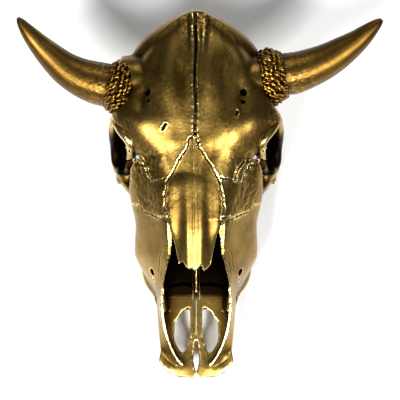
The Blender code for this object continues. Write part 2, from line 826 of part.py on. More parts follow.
def build_horn(side, rows, bone):
    """A horn and the rough collar at its foot, which both stay clear of the bone."""
    collar_rows = [(*horn_line(rows, across), radius) for across, radius in COLLAR]
    collar = tube(f"horn_collar_{side}", collar_rows, steps=7, sides=22)
    horn = tube(f"horn_{side}", rows, steps=16, sides=18)
    room = copy_of(collar, "room")
    grow(room, SUTURE_GAP)
    boolean(bone, room, "DIFFERENCE")
    cut(horn, room)
    keep_largest(horn)


def trim_on_floor(obj):
    floor = box("floor", (0, 250, FLOOR_HEIGHT - 30), (300, 500, 60))
    cut(obj, floor)


def paint(obj, colour, roughness):
    material = bpy.data.materials.new(f"{obj.name}_paint")
    material.use_nodes = True
    shader = material.node_tree.nodes["Principled BSDF"]
    shader.inputs["Base Color"].default_value = (*colour, 1.0)
    shader.inputs["Metallic"].default_value = 0.9
    shader.inputs["Roughness"].default_value = roughness
    material.diffuse_color = (*colour, 1.0)
    obj.data.materials.clear()
    obj.data.materials.append(material)
    obj.data.shade_smooth()
    obj.data.set_sharp_from_angle(angle=math.radians(40))


def decimate(obj, triangles):
    count = sum(len(face.vertices) - 2 for face in obj.data.polygons)
    thin = obj.modifiers.new("thin", "DECIMATE")
    thin.ratio = triangles / count
    apply_modifiers(obj)


WORKSHOP = None


def main():
    global WORKSHOP
    clear_scene()
    WORKSHOP = collection("cow_skull")
    bone = build_bone()
    keep_largest(bone)
    decimate(bone, BONE_TRIANGLES)
    build_horn("left", HORN_LEFT, bone)
    build_horn("right", HORN_RIGHT, bone)
    part_bones(bone)
    to_floor = Matrix.Rotation(math.radians(REST_TILT), 4, "X")
    for obj in list(WORKSHOP.objects):
        obj.data.transform(to_floor)
        if obj.name in FLOOR_BONES:
            trim_on_floor(obj)
    points = [vert.co for obj in WORKSHOP.objects for vert in obj.data.vertices]
    front, back = min(p.y for p in points), max(p.y for p in points)
    right, left = max(p.x for p in points), min(p.x for p in points)
    base = Vector(((left + right) / 2, (front + back) / 2, FLOOR_HEIGHT))
    to_metres = Matrix.Scale(0.001, 4) @ Matrix.Translation(-base)
    for obj in WORKSHOP.objects:
        obj.data.transform(to_metres)
        rough = "collar" in obj.name
        paint(obj, COLLAR_GOLD if rough else GOLD, 0.5 if rough else 0.35)


main()
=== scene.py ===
"""The looks of the gold cow skull: fine bone with sutures, pits and rims, rough collars and gold paint.

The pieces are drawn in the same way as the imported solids, face up and in millimetres: X runs across
the skull, Y from the muzzle to the poll and Z out of the face. Every bone is built finer, its
surface gets grooves, ridges and hollows, and its sutures are ragged.
"""

import math

import bmesh
import bpy
import numpy as np
from mathutils import Matrix, Vector


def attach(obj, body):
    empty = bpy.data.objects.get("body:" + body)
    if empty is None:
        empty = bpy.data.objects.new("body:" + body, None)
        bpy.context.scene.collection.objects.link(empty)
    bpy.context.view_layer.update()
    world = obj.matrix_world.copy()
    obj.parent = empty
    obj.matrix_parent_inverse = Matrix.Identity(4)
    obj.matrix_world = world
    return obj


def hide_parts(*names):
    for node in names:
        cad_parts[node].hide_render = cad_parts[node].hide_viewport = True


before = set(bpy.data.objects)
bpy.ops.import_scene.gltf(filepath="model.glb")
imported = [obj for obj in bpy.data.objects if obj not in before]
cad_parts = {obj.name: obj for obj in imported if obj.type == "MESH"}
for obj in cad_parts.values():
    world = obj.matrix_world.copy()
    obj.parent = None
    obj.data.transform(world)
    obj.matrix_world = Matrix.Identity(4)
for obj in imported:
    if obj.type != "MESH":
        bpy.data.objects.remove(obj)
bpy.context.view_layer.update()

# How fine the bone is, in mm, and the least gap left along a suture
CORE_VOXEL = 2.0
BONE_VOXEL = 1.15
PLATE_VOXEL = 0.9
COLLAR_VOXEL = 0.8
SUTURE_GAP = 0.3
RING_POINTS = 96

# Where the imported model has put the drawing: the lean of the face plane and its new origin
REST_TILT = math.radians(9.53)
ORIGIN = Vector((4.880, 230.121, -30.400))

# Cross-sections of the face, from the muzzle to the orbits: each row is the station, the height of
# the ridge, the shoulder beside the nasal bones, the widest line and the edge over the teeth
FACE = (
    (90, 46, (40, 42), (49, 18), (48, 7)),
    (104, 54, (39, 50), (50, 14), (52, 1)),
    (116, 62, (36, 57), (55, 10), (61, -9)),
    (128, 68, (32, 62), (62, 8), (67, -15)),
    (145, 76, (27, 70), (72, 8), (69, -20)),
    (162, 82, (24, 78), (80, 12), (68, -26)),
    (184, 85, (29, 79), (80, 16), (67, -31)),
    (204, 86, (32, 80), (79, 20), (66, -36)),
    (228, 87.5, (34, 80), (84, 26), (66, -43)),
    (246, 88, (36, 80), (87, 30), (64, -47)),
    (264, 88, (38, 80), (86, 38), (54, -44)),
    (284, 88.5, (40, 82), (84, 48), (44, -40)),
    (304, 89, (38, 84), (74, 54), (36, -36)),
    (320, 89, (30, 84), (52, 54), (28, -30)),
)

# The frontal shield: station, half-width, height on the midline, of its edge and of its underside,
# and how flat its top is (1.6 falls away from the midline, 2.4 is a broad shield)
FRONTAL = (
    (278, 62, 84.0, 58, 20, 1.6),
    (292, 76, 87.5, 60, 20, 1.7),
    (306, 86, 89.3, 62, 20, 1.9),
    (322, 98, 90.0, 61, 20, 2.1),
    (338, 110, 91.0, 58, 22, 2.3),
    (355, 100, 91.5, 60, 22, 2.4),
    (377, 89, 91.5, 60, 20, 2.4),
    (397, 80, 91.0, 58, 15, 2.4),
    (415, 71, 89.5, 55, 15, 2.4),
    (432, 61, 86.5, 52, 20, 2.3),
    (449, 46, 82.0, 48, 25, 2.2),
    (464, 30, 77.0, 44, 30, 2.2),
    (475, 14, 71.0, 52, 38, 2.2),
)

# The braincase: station, half-width, top, middle, bottom and roundness
BRAINCASE = (
    (286, 44, 60, 10, -34, 2.2),
    (315, 46, 70, 8, -40, 2.2),
    (345, 52, 74, 6, -46, 2.2),
    (375, 64, 76, 4, -50, 2.2),
    (400, 70, 74, 2, -52, 2.2),
    (425, 60, 66, 2, -46, 2.2),
)

# The back of the head, from the poll down: height, half-width, where the sides, the back and the
# front lie, and how gabled the back is (1.5 is a gable, 2 is round)
OCCIPUT = (
    (73, 54, 428, 474, 400, 1.45),
    (56, 80, 420, 477, 385, 1.45),
    (30, 84, 412, 464, 380, 1.7),
    (5, 88, 402, 447, 375, 2.0),
    (-20, 102, 396, 434, 370, 2.2),
    (-42, 94, 396, 426, 372, 2.2),
    (-60, 50, 398, 420, 380, 2.2),
    (-72, 24, 400, 412, 385, 2.2),
)

# The nasal cavity: station, top, half-width at the top, half-width of the middle, floor
NASAL_CAVITY = (
    (80, 60, 36, 40, 10),
    (100, 62, 36, 40, 9),
    (120, 64, 34, 44, 6),
    (140, 68, 31, 50, 2),
    (163, 74, 30, 56, -5),
    (190, 79, 29, 58, -13),
    (208, 74, 25, 52, -18),
    (222, 66, 20, 42, -20),
    (236, 50, 12, 24, -10),
)

# The upper edge of the wall round the nasal opening, seen from the side: station and height
OPENING_EDGE = (
    (60, 30), (96, 36), (112, 41), (130, 49), (152, 62), (165, 69), (182, 74), (197, 76), (209, 77.5),
)

# How far out and up all is cut away over that edge
OPENING_CUT = (90, 120)

# The nasal bones: station, half-width, height on the midline and at the edge
NASALS = (
    (140, 17, 74.5, 68),
    (148, 19, 76.5, 70),
    (160, 21.5, 79.0, 72),
    (182, 26, 84.2, 76),
    (205, 31.5, 86.8, 79.5),
    (240, 36, 88.2, 79.5),
    (262, 33, 88.6, 80),
    (284, 26, 85.0, 77),
)
NASAL_SHIFT = -3.7
NASAL_THICKNESS = 6.0
NASAL_ROUNDNESS = 2.2

# How far the free part of the nasal bones leans back to the middle, and the stations of that turn
NASAL_LEAN = 2.0
NASAL_LEAN_RUN = (220, 250)
NASAL_TIPS = (
    (-60, 120), (-60, 152), (-26, 152), (-23.7, 148.9), (-21.5, 152), (-18.4, 157), (-16, 155.4),
    (-13.5, 151.5), (-8.2, 147.2), (-5.2, 148.6), (-2.6, 145.5), (1.2, 147.2), (4.4, 151), (7, 154),
    (8.6, 147), (10.3, 144.2), (11.6, 147.5), (13.6, 146.9), (17, 152), (60, 152), (60, 120),
)

# The outline of the right nasal bone from its midline, and the slope of the face it sits on
NASAL_SUTURE = (
    (148, 19), (160, 21.5), (182, 26), (197, 29.5), (214, 33.5), (226, 36), (240, 36), (258, 32),
    (275, 23.5), (289, 15), (301, 7), (316, 1.5),
)
NASAL_BED = (42.8, 0.13)

# Heights clear above and below all bone, for a suture that parts it through and through
ROOF = 130.0
CELLAR = -120.0

# Where the right facial bones are parted, as outlines seen from above
INCISIVE_SUTURE = (
    (0.15, -6), (60, -6), (60, 106), (51, 112), (49.5, 126), (46.5, 160), (42, 172), (33, 168),
    (33, 108), (0.15, 108),
)
MAXILLA_SUTURE = (
    (0.15, 100), (112, 100), (112, 229), (75, 229), (66.5, 221), (52, 212.5), (39, 213), (0.15, 213),
)
MAXILLA_TUBER = ((22, 205), (78, 205), (78, 252), (62, 262), (22, 258))
MAXILLA_TUBER_TOP = 4.0
INCISIVE_BED = (-17.0, 0.35)
INCISIVE_FRONT = ((0.15, -6), (60, -6), (60, 107), (0.15, 107))
INCISIVE_FRONT_DEPTHS = (-40.0, 60.0)
LACRIMAL_BASE = 36.0
ZYGOMATIC_DEPTHS = (-45.0, 44.0)
LACRIMAL_SUTURE = (
    (30, 205), (80, 225), (82, 252), (110, 268), (110, 285), (80, 287), (66, 279), (60, 264),
    (57, 257), (50, 260), (30, 263),
)
ZYGOMATIC_SUTURE = (
    (74, 222), (130, 222), (130, 341), (90, 341), (97, 300), (90, 270), (80, 258), (74, 250),
)
TEMPORAL_SUTURE = ((60, 332), (130, 332), (130, 392), (108, 416), (60, 416))
TEMPORAL_BASE = -60.0
TEMPORAL_TOP = 12.0

# The frontal bones lie above one level, but for the necks of the horns, which they take with them
FRONTAL_SUTURE = ((0, 200), (140, 200), (140, 490), (0, 490))
FRONTAL_SHIFT = -1.2
FRONTAL_BASE = 44.0
HORN_NECK_SUTURE = ((68, 346), (140, 346), (140, 440), (68, 440))

# How far a suture strays from its line, and over what length
SUTURE_STRAY = 1.3
SUTURE_STEP = 2.2

# The rim of the right orbit, from the corner of the forehead round to the bar behind the eye
ORBIT_RIM = (
    (105, 337, 60),
    (96, 323, 68),
    (85, 309, 70),
    (83, 297, 60),
    (85, 284, 42),
    (90, 271, 20),
    (99, 270, 6),
    (106, 281, 0),
    (108, 304, 6),
    (108.5, 324, 32),
)
ORBIT_CENTRE = (100, 302, 33)
ORBIT_SIZE = (50, 32, 32)

# Rounded forms of the right side, and of the hollow behind the eye: place, half-sizes and turns
CHEEK = ((88, 266, 10), (19, 13, 15), (0, 0, 30))
MASTOID = ((84, 394, -26), (20, 18, 26), (0, 0, 0))
JAW_JOINT = ((76, 356, -20), (32, 15, 9), (0, 0, 0))
CONDYLE = ((26, 413, -60), (20, 17, 22), (20, 0, -20))
BULLA = ((46, 370, -66), (12, 20, 18), (0, 0, 0))
TEMPORAL_FOSSA = ((96, 362, 14), (36, 44, 32), (0, 0, 0))

# The neck of the right horn, the ear, the jugular process and the wing beside the throat, as lines
# with a radius. The base of the skull and the hole for the spinal cord are on the middle plane
HORN_NECK = ((62, 386, 50, 32), (80, 390, 47, 31), (100, 393, 46, 27))
EAR = ((74, 376, -40, 10), (96, 384, -37, 7))
JUGULAR = ((54, 400, -40, 17), (54, 398, -62, 13), (51, 391, -82, 9), (50, 384, -96, 6))
PTERYGOID = ((30, 240, -52, 16), (28, 262, -50, 20), (25, 290, -46, 20), (22, 318, -42, 14))
PTERYGOID_HALF_WIDTH = 3.2
SKULL_BASE = ((0, 300, -28, 18), (0, 340, -40, 18), (0, 380, -52, 18), (0, 410, -58, 17))
SKULL_BASE_HALF_WIDTH = 24
FORAMEN_MAGNUM = ((0, 444, -48, 18), (0, 420, -44, 18), (0, 395, -30, 16), (0, 385, -20, 10))
FORAMEN_MAGNUM_HALF_WIDTH = 19

# The vault of the palate: its first and last station, rise and half-width, and the stations from
# which it rises and narrows towards the throat, with how steeply
PALATE_RUN = (96, 330)
PALATE_RISE = 13
PALATE_HALF_WIDTH = 44
PALATE_DEPTH = 30
PALATE_ROUNDNESS = 3.0
THROAT_RISE = (262, 0.35)
THROAT_NARROWING = (246, 0.25)

# The zygomatic arch, from the cheek back to the jaw joint, and its half-height along the way
ARCH = (
    (76, 239, 20, 13),
    (91, 256, 10, 12),
    (101, 274, 0, 10),
    (103.5, 300, -4, 9),
    (103.5, 326, -7, 9),
    (101, 348, -9, 9),
    (92, 366, -12, 11),
    (76, 384, -16, 14),
)
ARCH_HALF_DEPTH = 6.5

# The floor of the orbit, a shelf inside the arch, and the bar behind the eye
ORBIT_FLOOR = ((93, 258, 8, 8), (96, 284, -1, 8), (98, 310, -8, 7), (98, 338, -12, 6))
ORBIT_FLOOR_HALF_WIDTH = 12.0
ORBIT_BAR = ((103, 341, 57, 9), (107.5, 330, 36, 8), (109.5, 314, 10, 8), (105.5, 300, -6, 9))
ORBIT_BAR_HALF_WIDTH = 5.0

# The small openings for nerves: where each starts above the bone, where it ends, and its radius
FORAMINA = (
    ((62, 374, 100), (58, 364, 62), 3.2),
    ((60, 360, 100), (58, 356, 66), 2.0),
    ((66, 134, 38), (44, 152, 22), 5.0),
    ((64, 124, 36), (50, 136, 20), 1.8),
    ((80, 284, 80), (70, 293, 44), 3.0),
    ((87, 295, 80), (82, 300, 48), 1.7),
    ((70, 272, 90), (67, 276, 56), 1.5),
)
LACRIMAL_KNOB = ((84, 302, 61), (6, 4, 5))

# The wall of the incisive bone: station, inner edge at the top, outer edge at the bottom
INCISIVE = (
    (120, (43, 43), (53, 4)),
    (104, (45, 38), (50, 7)),
    (88, (44.5, 34), (49, 10)),
    (72, (42, 31), (48, 12)),
    (56, (38, 29), (46.5, 14)),
    (40, (32, 27), (45, 15)),
    (28, (25, 26), (42, 17)),
    (20, (19, 24), (34, 18)),
)
INCISIVE_THICKNESS = 4.4

# The flat part of the right incisive bone, the oval opening through it, and the slit beside it
INCISIVE_PLATE = (
    (0.9, 4), (8, 3), (20, 3.5), (32, 7), (44, 17), (49, 25), (46, 43), (49, 66), (50.5, 90),
    (52, 112), (0.9, 116),
)
INCISIVE_OPENING = (
    (9, 92), (17, 90), (22, 82), (27.5, 75), (28, 66), (28.6, 53), (25, 43), (18.5, 34.5),
    (13.5, 38.5), (12.2, 47), (8.8, 54), (8.3, 78),
)
INCISIVE_SLIT = (
    (-0.2, 92), (-0.9, 50), (-3.4, 34), (-3.6, 24), (0, 8), (3.6, 24), (3.4, 34), (0.9, 50), (0.2, 92),
)
INCISIVE_PLATE_HEIGHT = (20.0, -0.11)
INCISIVE_PLATE_THICKNESS = 8.0
MUZZLE_END = 2.0
PLATE_CUT = 20.0

# The horns: the line down the middle of each, with its radius
HORN_LEFT = (
    (-106, 381, 46, 28.3),
    (-130.7, 386, 47, 27.0),
    (-150, 393, 50, 24.4),
    (-169, 404, 55, 21.1),
    (-186.6, 419.5, 62, 17.2),
    (-201, 434, 69, 13.3),
    (-213, 448, 76, 9.3),
    (-221, 459, 81, 5.2),
    (-224, 464, 83, 2.0),
)
HORN_RIGHT = (
    (105, 394.5, 46, 27.7),
    (129, 398.8, 47, 26.4),
    (149.5, 405.5, 50, 24.4),
    (170.8, 415, 55, 21.8),
    (189, 426, 61, 18.5),
    (205, 437, 68, 14.6),
    (218, 448, 75, 10.7),
    (229, 457.5, 80, 6.2),
    (234, 461.5, 82.5, 2.4),
)

# The rough collar at the foot of a horn: distance out from the middle plane, and radius
COLLAR = ((84, 32.5), (88, 36.5), (95, 38), (103, 35.5), (109, 31.5), (112, 29.5))

# How a horn is divided, and its grooves: the length and radius that they are drawn at, how little
# they change along it, how fine they are, and how far up the wrinkles at its foot reach
HORN_STEPS = 160
HORN_SIDES = 150
STREAK_LENGTH = 150
STREAK_RADIUS = 26
STREAK_PULL = 0.06
STREAK_SCALE = 4.2
WRINKLE_REACH = 42

# The beads of a collar: how many bands of how many, the core under them, a bead's half-lengths and
# how deep it is sunk, and how far beads stray along the collar, round it, in lean and in height
COLLAR_BANDS = 6
COLLAR_BEADS = 36
COLLAR_SEED = 31
COLLAR_SAMPLES = 200
COLLAR_CORE_DEPTH = 2.6
BEAD = (4.2, 2.2, 2.9)
BEAD_SINK = 2.2
BEAD_LEAN = 0.75
BEAD_SIZES = (0.75, 1.2)
ALONG_STRAY, ROUND_STRAY, LEAN_STRAY, HEIGHT_STRAY = 0.022, 0.16, 0.35, 0.45

# The cheek teeth of one side: three small and three large, as length and width
TEETH = ((17, 16), (18, 18), (19, 20), (24, 22), (26, 23), (27, 22))
TOOTH_ROW_START = (50.0, 103.0)
TOOTH_ROW_END = (59.0, 245.0)
CROWN_HEIGHT = 22.0
PALATE_SLOPE = 0.2985

# The vomer, a low crest along the floor of the nose, and the bed that it is parted from
VOMER = ((0, 112, 12, 5), (0, 140, 8, 12), (0, 180, 2, 22), (0, 225, -6, 30))
VOMER_HALF_WIDTH = 3.0
VOMER_BED = ((-4.2, 103), (4.2, 103), (4.2, 250), (-4.2, 250))
VOMER_BED_DEPTHS = (-2.0, 64.0)
VOMER_BED_SLOPE = -0.12

# Grooves in the face side: points on the line, half-width, depth, and height of the lips beside it
GROOVES = (
    (((-1.2, 472), (-0.6, 448), (0.1, 429), (-1.2, 410), (-1.8, 391), (-1.2, 372), (-0.6, 354),
      (-1.2, 335), (-1.4, 317)), 1.5, 1.7, 0.7),
    (((-1.8, 318.6), (1.9, 313.6), (3.2, 307.3), (-0.6, 301.1), (-4.3, 306.1), (-4.9, 312.3),
      (-1.8, 318.6)), 0.9, 0.9, 0.4),
    (((-41.9, 323.7), (-38.2, 330.0)), 1.3, 2.2, 0.6),
    (((50.8, 340.8), (51.5, 346)), 1.2, 1.6, 0.5),
    (((-71.4, 290.3), (-67.6, 284), (-64.2, 276.4), (-59.4, 264.3)), 1.0, 0.9, 0.7),
    (((61.4, 285.3), (55.1, 276.4), (51.3, 267.6), (49.6, 260)), 1.0, 0.9, 0.7),
)

# Swells and hollows of the face side: place, half-lengths across and along, turn, and height
SWELLS = (
    ((-5.6, 442), (2.6, 26), 0, 1.8),
    ((9.6, 440), (3.4, 24), -4, 2.2),
    ((-20, 392), (6, 22), 4, -3.0),
    ((37, 384), (8, 26), 0, -3.4),
    ((14, 385), (6, 26), -4, 2.0),
    ((-36, 380), (9, 26), 10, 2.2),
    ((58, 400), (7, 24), 10, 1.6),
    ((-48, 410), (7, 16), -20, -1.4),
    ((-68.5, 364), (7, 15), -6, -3.6),
    ((58, 368), (6, 18), 4, -3.0),
    ((-64, 328), (21, 19), 0, 5.2),
    ((44, 322), (17, 19), 0, 5.0),
    ((70, 332), (12, 16), 0, 3.0),
    ((26, 330), (9, 16), 0, -1.6),
    ((-26, 322), (8, 18), 0, -1.6),
    ((18, 288), (6, 18), -20, -1.8),
    ((-30, 285), (6, 18), 20, -1.4),
    ((-9.5, 190), (5.5, 55), 0, 1.7),
    ((4.5, 195), (6.5, 60), 0, 1.9),
    ((-22, 205), (7, 60), 0, -1.6),
    ((17, 205), (7, 60), 0, -1.8),
    ((-3.6, 215), (1.6, 70), 0, -0.9),
    ((-24, 15), (13, 9), 0, 2.4),
    ((25, 15), (13, 9), 0, 2.4),
    ((-41, 60), (5, 40), 0, 1.0),
    ((41, 60), (5, 40), 0, 1.0),
)

# The sutures that also run over the surface as lines, with the heights that they keep to
SUTURE_LINES = ((LACRIMAL_SUTURE, 34, 130), (ZYGOMATIC_SUTURE, -50, 42), (MAXILLA_SUTURE, -30, 130))

# Half-width, depth and height of the lips of each of those lines, and the heights of the others
SUTURE_FORM = (0.8, 0.5, 0.1)
INCISIVE_FORM = (0.7, 0.4, 0.1)
INCISIVE_HEIGHTS = (45, 130)
GROOVE_HEIGHTS = (30, 130)
NASAL_FORM = (0.9, 0.8, 0.4)
NASAL_HEIGHTS = (50, 130)

# The nasal bones: where along the skull they are set in the face, where they end, how far within
# their suture their skin starts, and the height that it lies above
NASAL_SET_IN = 212
NASAL_END = 318
NASAL_EDGE = 1.5
NASAL_SKIN = 58

# The height above which the bone is carved, along the skull, and how softly a swell fades
CARVED_ABOVE = ((85, 110), (6, 34))
SWELL_SOFTNESS = 1.4

# Where the bone is rough: place, reach and height of the roughness
ROUGH_PLACES = (((70, 282), 20, 0.8), ((60, 232), 26, 0.35), ((0, 462), 24, 0.6), ((98, 336), 14, 0.5))

# The painted shade in the nose: how far it keeps from the roof and passes the walls and the floor, how it
# fades in from them, and where along the nose it starts, is full and ends
NOSE_MARGINS = (3, 4, 3)
NOSE_FADES = (14, 2, 1)
NOSE_RUN = (103, 120, 240)

# The pieces painted dark all over as shade inside the nose, and how dark
PAINTED_SHADE_PIECES = {"vomer": 0.95}

# The tones of the paint, from the painted shade in the hollows to the worn high places
HORN_TONES = ((0.006, 0.003, 0.001), (0.04, 0.020, 0.003), (0.14, 0.078, 0.015), (0.58, 0.40, 0.13))
BONE_TONES = ((0.006, 0.003, 0.001), (0.08, 0.041, 0.007), (0.29, 0.185, 0.044), (0.86, 0.70, 0.34))
COLLAR_TONES = ((0.006, 0.003, 0.001), (0.06, 0.026, 0.003), (0.21, 0.10, 0.013), (0.55, 0.33, 0.07))

# What moves the tone from its base: how far a place stands out in small and in large, how open it
# is (painted shade in the hollows, from ambient occlusion), and two sizes of speckle, each with its middle
# and its share
BASE_TONE = 0.38
TONE_SHARES = ((0.5, 0.6), (0.5, 0.35), (0.85, 0.9), (0.5, 0.6), (0.5, 0.12))

# Each paint: its tones, roughness, and the strength of its coarse and fine grain
PAINTS = {
    "bone": (BONE_TONES, 0.30, 0.15, 0.6),
    "collar": (COLLAR_TONES, 0.36, 0.4, 0.6),
    "horn": (HORN_TONES, 0.40, 0.08, 0.4),
}

# The bones that the floor trims
FLOOR_BONES = ("cranium", "maxilla_left", "maxilla_right")

PIECES = {}


def placed(name, data):
    """A new object in the scene."""
    obj = bpy.data.objects.new(name, data)
    bpy.context.scene.collection.objects.link(obj)
    return obj


def shaped(name, shape):
    """A new object with the mesh that was built up in shape, which ends there."""
    mesh = bpy.data.meshes.new(name)
    shape.to_mesh(mesh)
    shape.free()
    return placed(name, mesh)


def mesh_object(name, verts, faces):
    mesh = bpy.data.meshes.new(name)
    mesh.from_pydata(np.asarray(verts, float).tolist(), [], faces)
    mesh.validate()
    return placed(name, mesh)


def between(a, b, c, d, t):
    """The point at t from b to c on a smooth curve through all four (Catmull-Rom)."""
    bend = (3 * b - a - 3 * c + d) * t**3
    return 0.5 * (2 * b + (c - a) * t + (2 * a - 5 * b + 4 * c - d) * t**2 + bend)


def curve_through(rows, count):
    """Rows of numbers read at even steps along a smooth curve through them."""
    rows = np.array(rows, float)
    padded = np.vstack([2 * rows[0] - rows[1], rows, 2 * rows[-1] - rows[-2]])
    found = []
    for place in np.linspace(0, len(rows) - 1, count):
        i = min(int(place), len(rows) - 2)
        found.append(between(*padded[i : i + 4], place - i))
    return np.array(found)


def closed_curve(points, count):
    """A closed smooth curve through points, read at even steps."""
    points = np.array(points, float)
    turn = np.vstack([points[-1:], points, points[:2]])
    places = np.linspace(0, len(points), count, endpoint=False)
    return np.array([between(*turn[int(p) : int(p) + 4], p - int(p)) for p in places])


def loft(name, rings):
    """A closed solid through rings that all have the same number of points."""
    count = len(rings[0])
    verts = np.vstack(rings)
    faces = []
    for r in range(len(rings) - 1):
        for i in range(count):
            j = (i + 1) % count
            faces.append((r * count + i, r * count + j, (r + 1) * count + j, (r + 1) * count + i))
    faces.append(tuple(reversed(range(count))))
    last = (len(rings) - 1) * count
    faces.append(tuple(range(last, last + count)))
    obj = mesh_object(name, verts, faces)
    face_outward(obj)
    return obj


def face_outward(obj):
    shape = bmesh.new()
    shape.from_mesh(obj.data)
    bmesh.ops.recalc_face_normals(shape, faces=shape.faces)
    if shape.calc_volume(signed=True) < 0:
        bmesh.ops.reverse_faces(shape, faces=shape.faces)
    shape.to_mesh(obj.data)
    shape.free()


def along_y(points, y):
    """A ring of (across, height) points set upright at a station."""
    points = np.asarray(points)
    return np.column_stack([points[:, 0], np.full(len(points), y), points[:, 1]])


def superellipse(half_width, up, down, round_up=2.2, round_down=2.2):
    """A ring of (across, height) points about its own middle."""
    angles = np.linspace(0, 2 * math.pi, RING_POINTS, endpoint=False)
    c, s = np.cos(angles), np.sin(angles)
    power = np.where(s >= 0, 2 / round_up, 2 / round_down)
    reach = np.where(s >= 0, up, down)
    x = np.sign(c) * abs(c) ** power * half_width
    return np.column_stack([x, np.sign(s) * abs(s) ** power * reach])


def tube(name, rows, flat=None, steps=48, sides=40):
    """A tube along rows of (x, y, z, radius). A flat one has half its thickness given sideways."""
    path = curve_through(rows, steps)
    centres, radii = path[:, :3], path[:, 3]
    angles = np.linspace(0, 2 * math.pi, sides, endpoint=False)
    rings = []
    for i, centre in enumerate(centres):
        ahead = centres[min(i + 1, steps - 1)] - centres[max(i - 1, 0)]
        along = Vector(ahead).normalized()
        side = along.cross(Vector((0, 0, 1))).normalized()
        up = side.cross(along).normalized()
        wide = radii[i] if flat is None else flat
        ring = centre + np.outer(np.cos(angles) * wide, side) + np.outer(np.sin(angles) * radii[i], up)
        rings.append(ring)
    return loft(name, rings)


def ball(name, centre, size, turn=(0, 0, 0)):
    shape = bmesh.new()
    bmesh.ops.create_uvsphere(shape, u_segments=48, v_segments=28, radius=1.0)
    spin = Matrix.Rotation(math.radians(turn[2]), 4, "Z") @ Matrix.Rotation(math.radians(turn[1]), 4, "Y")
    spin = spin @ Matrix.Rotation(math.radians(turn[0]), 4, "X")
    shape.transform(Matrix.Translation(centre) @ spin @ Matrix.Diagonal((*size, 1)))
    return shaped(name, shape)


def box(name, centre, size, turn_x=0.0, rounding=0.0):
    shape = bmesh.new()
    bmesh.ops.create_cube(shape, size=1.0)
    bmesh.ops.scale(shape, vec=size, verts=shape.verts)
    if rounding:
        bmesh.ops.bevel(shape, geom=shape.edges, offset=rounding, segments=4, affect="EDGES")
    shape.transform(Matrix.Translation(centre) @ Matrix.Rotation(math.radians(turn_x), 4, "X"))
    return shaped(name, shape)


def between_ends(name, first, last):
    """A closed solid between two outlines that have the same number of points."""
    count = len(first)
    faces = [tuple(range(count)), tuple(range(count, 2 * count))]
    for i in range(count):
        j = (i + 1) % count
        faces.append((i, j, count + j, count + i))
    obj = mesh_object(name, first + last, faces)
    face_outward(obj)
    return obj


def prism(name, outline, low, high, slope=0.0):
    """An upright solid on an outline of (x, y) points, whose two ends may slope along Y."""
    return between_ends(name, *([(x, y, z + slope * y) for x, y in outline] for z in (low, high)))


def mirrored(obj):
    """A copy of obj on the other side of the middle plane."""
    mesh = obj.data.copy()
    mesh.transform(Matrix.Diagonal((-1, 1, 1, 1)))
    mesh.flip_normals()
    return placed(obj.name.replace("right", "left"), mesh)


def both(obj):
    return [obj, mirrored(obj)]


def remove(obj):
    bpy.data.objects.remove(obj, do_unlink=True)


def join(name, objects):
    shape = bmesh.new()
    for obj in objects:
        shape.from_mesh(obj.data)
        remove(obj)
    return shaped(name, shape)


def apply_modifiers(obj):
    graph = bpy.context.evaluated_depsgraph_get()
    mesh = bpy.data.meshes.new_from_object(obj.evaluated_get(graph))
    obj.modifiers.clear()
    obj.data = mesh


def fuse(obj, voxel, smoothing):
    """Fuses overlapping closed shapes into one skin and rounds where they meet."""
    remesh = obj.modifiers.new("fuse", "REMESH")
    remesh.mode = "VOXEL"
    remesh.voxel_size = voxel
    smooth = obj.modifiers.new("round", "SMOOTH")
    smooth.factor = 0.5
    smooth.iterations = smoothing
    apply_modifiers(obj)


def boolean(obj, other, operation):
    change = obj.modifiers.new("cut", "BOOLEAN")
    change.operation = operation
    change.solver = "MANIFOLD"
    change.object = other
    apply_modifiers(obj)


def cut(obj, cutter):
    boolean(obj, cutter, "DIFFERENCE")
    remove(cutter)


def grow(obj, distance):
    """Pushes every face of a closed shape outward by at least this distance."""
    push = obj.modifiers.new("grow", "DISPLACE")
    push.strength = distance * 1.75
    push.mid_level = 0.0
    apply_modifiers(obj)


def part_off(bone, name, region):
    """Takes the piece inside a region out of the bone, and leaves the suture gap between them."""
    piece = placed(name, bone.data.copy())
    boolean(piece, region, "INTERSECT")
    keep_largest(piece)
    grow(region, SUTURE_GAP)
    cut(bone, region)
    PIECES[name] = piece


def keep_largest(obj):
    """Drops every loose crumb that a cut left beside the main body."""
    mesh = obj.data
    count = len(mesh.vertices)
    edges = edges_of(mesh)
    group = np.arange(count)
    while True:
        low = np.minimum(group[edges[:, 0]], group[edges[:, 1]])
        before = group.copy()
        np.minimum.at(group, edges[:, 0], low)
        np.minimum.at(group, edges[:, 1], low)
        group = group[group]
        if (group == before).all():
            break
    names, sizes = np.unique(group, return_counts=True)
    if len(names) == 1:
        return
    main = names[sizes.argmax()]
    shape = bmesh.new()
    shape.from_mesh(mesh)
    loose = [vert for vert, part in zip(shape.verts, group) if part != main]
    bmesh.ops.delete(shape, geom=loose, context="VERTS")
    shape.to_mesh(mesh)
    shape.free()


def numbers(items, what, width, kind=np.float32):
    """One value of every item of a mesh, as rows of numbers."""
    found = np.empty(len(items) * width, kind)
    items.foreach_get(what, found)
    return found.reshape(-1, width)


def edges_of(mesh):
    return numbers(mesh.edges, "vertices", 2, np.int32)


def points_of(mesh):
    return numbers(mesh.vertices, "co", 3).astype(float)


def normals_of(mesh):
    return numbers(mesh.vertex_normals, "vector", 3).astype(float)


def set_points(mesh, points):
    mesh.vertices.foreach_set("co", points.astype(np.float32).ravel())
    mesh.update()


# A block of even random numbers, read smoothly between its corners
LATTICE_SIZE = 64
LATTICE = np.random.default_rng(7).random((LATTICE_SIZE,) * 3)


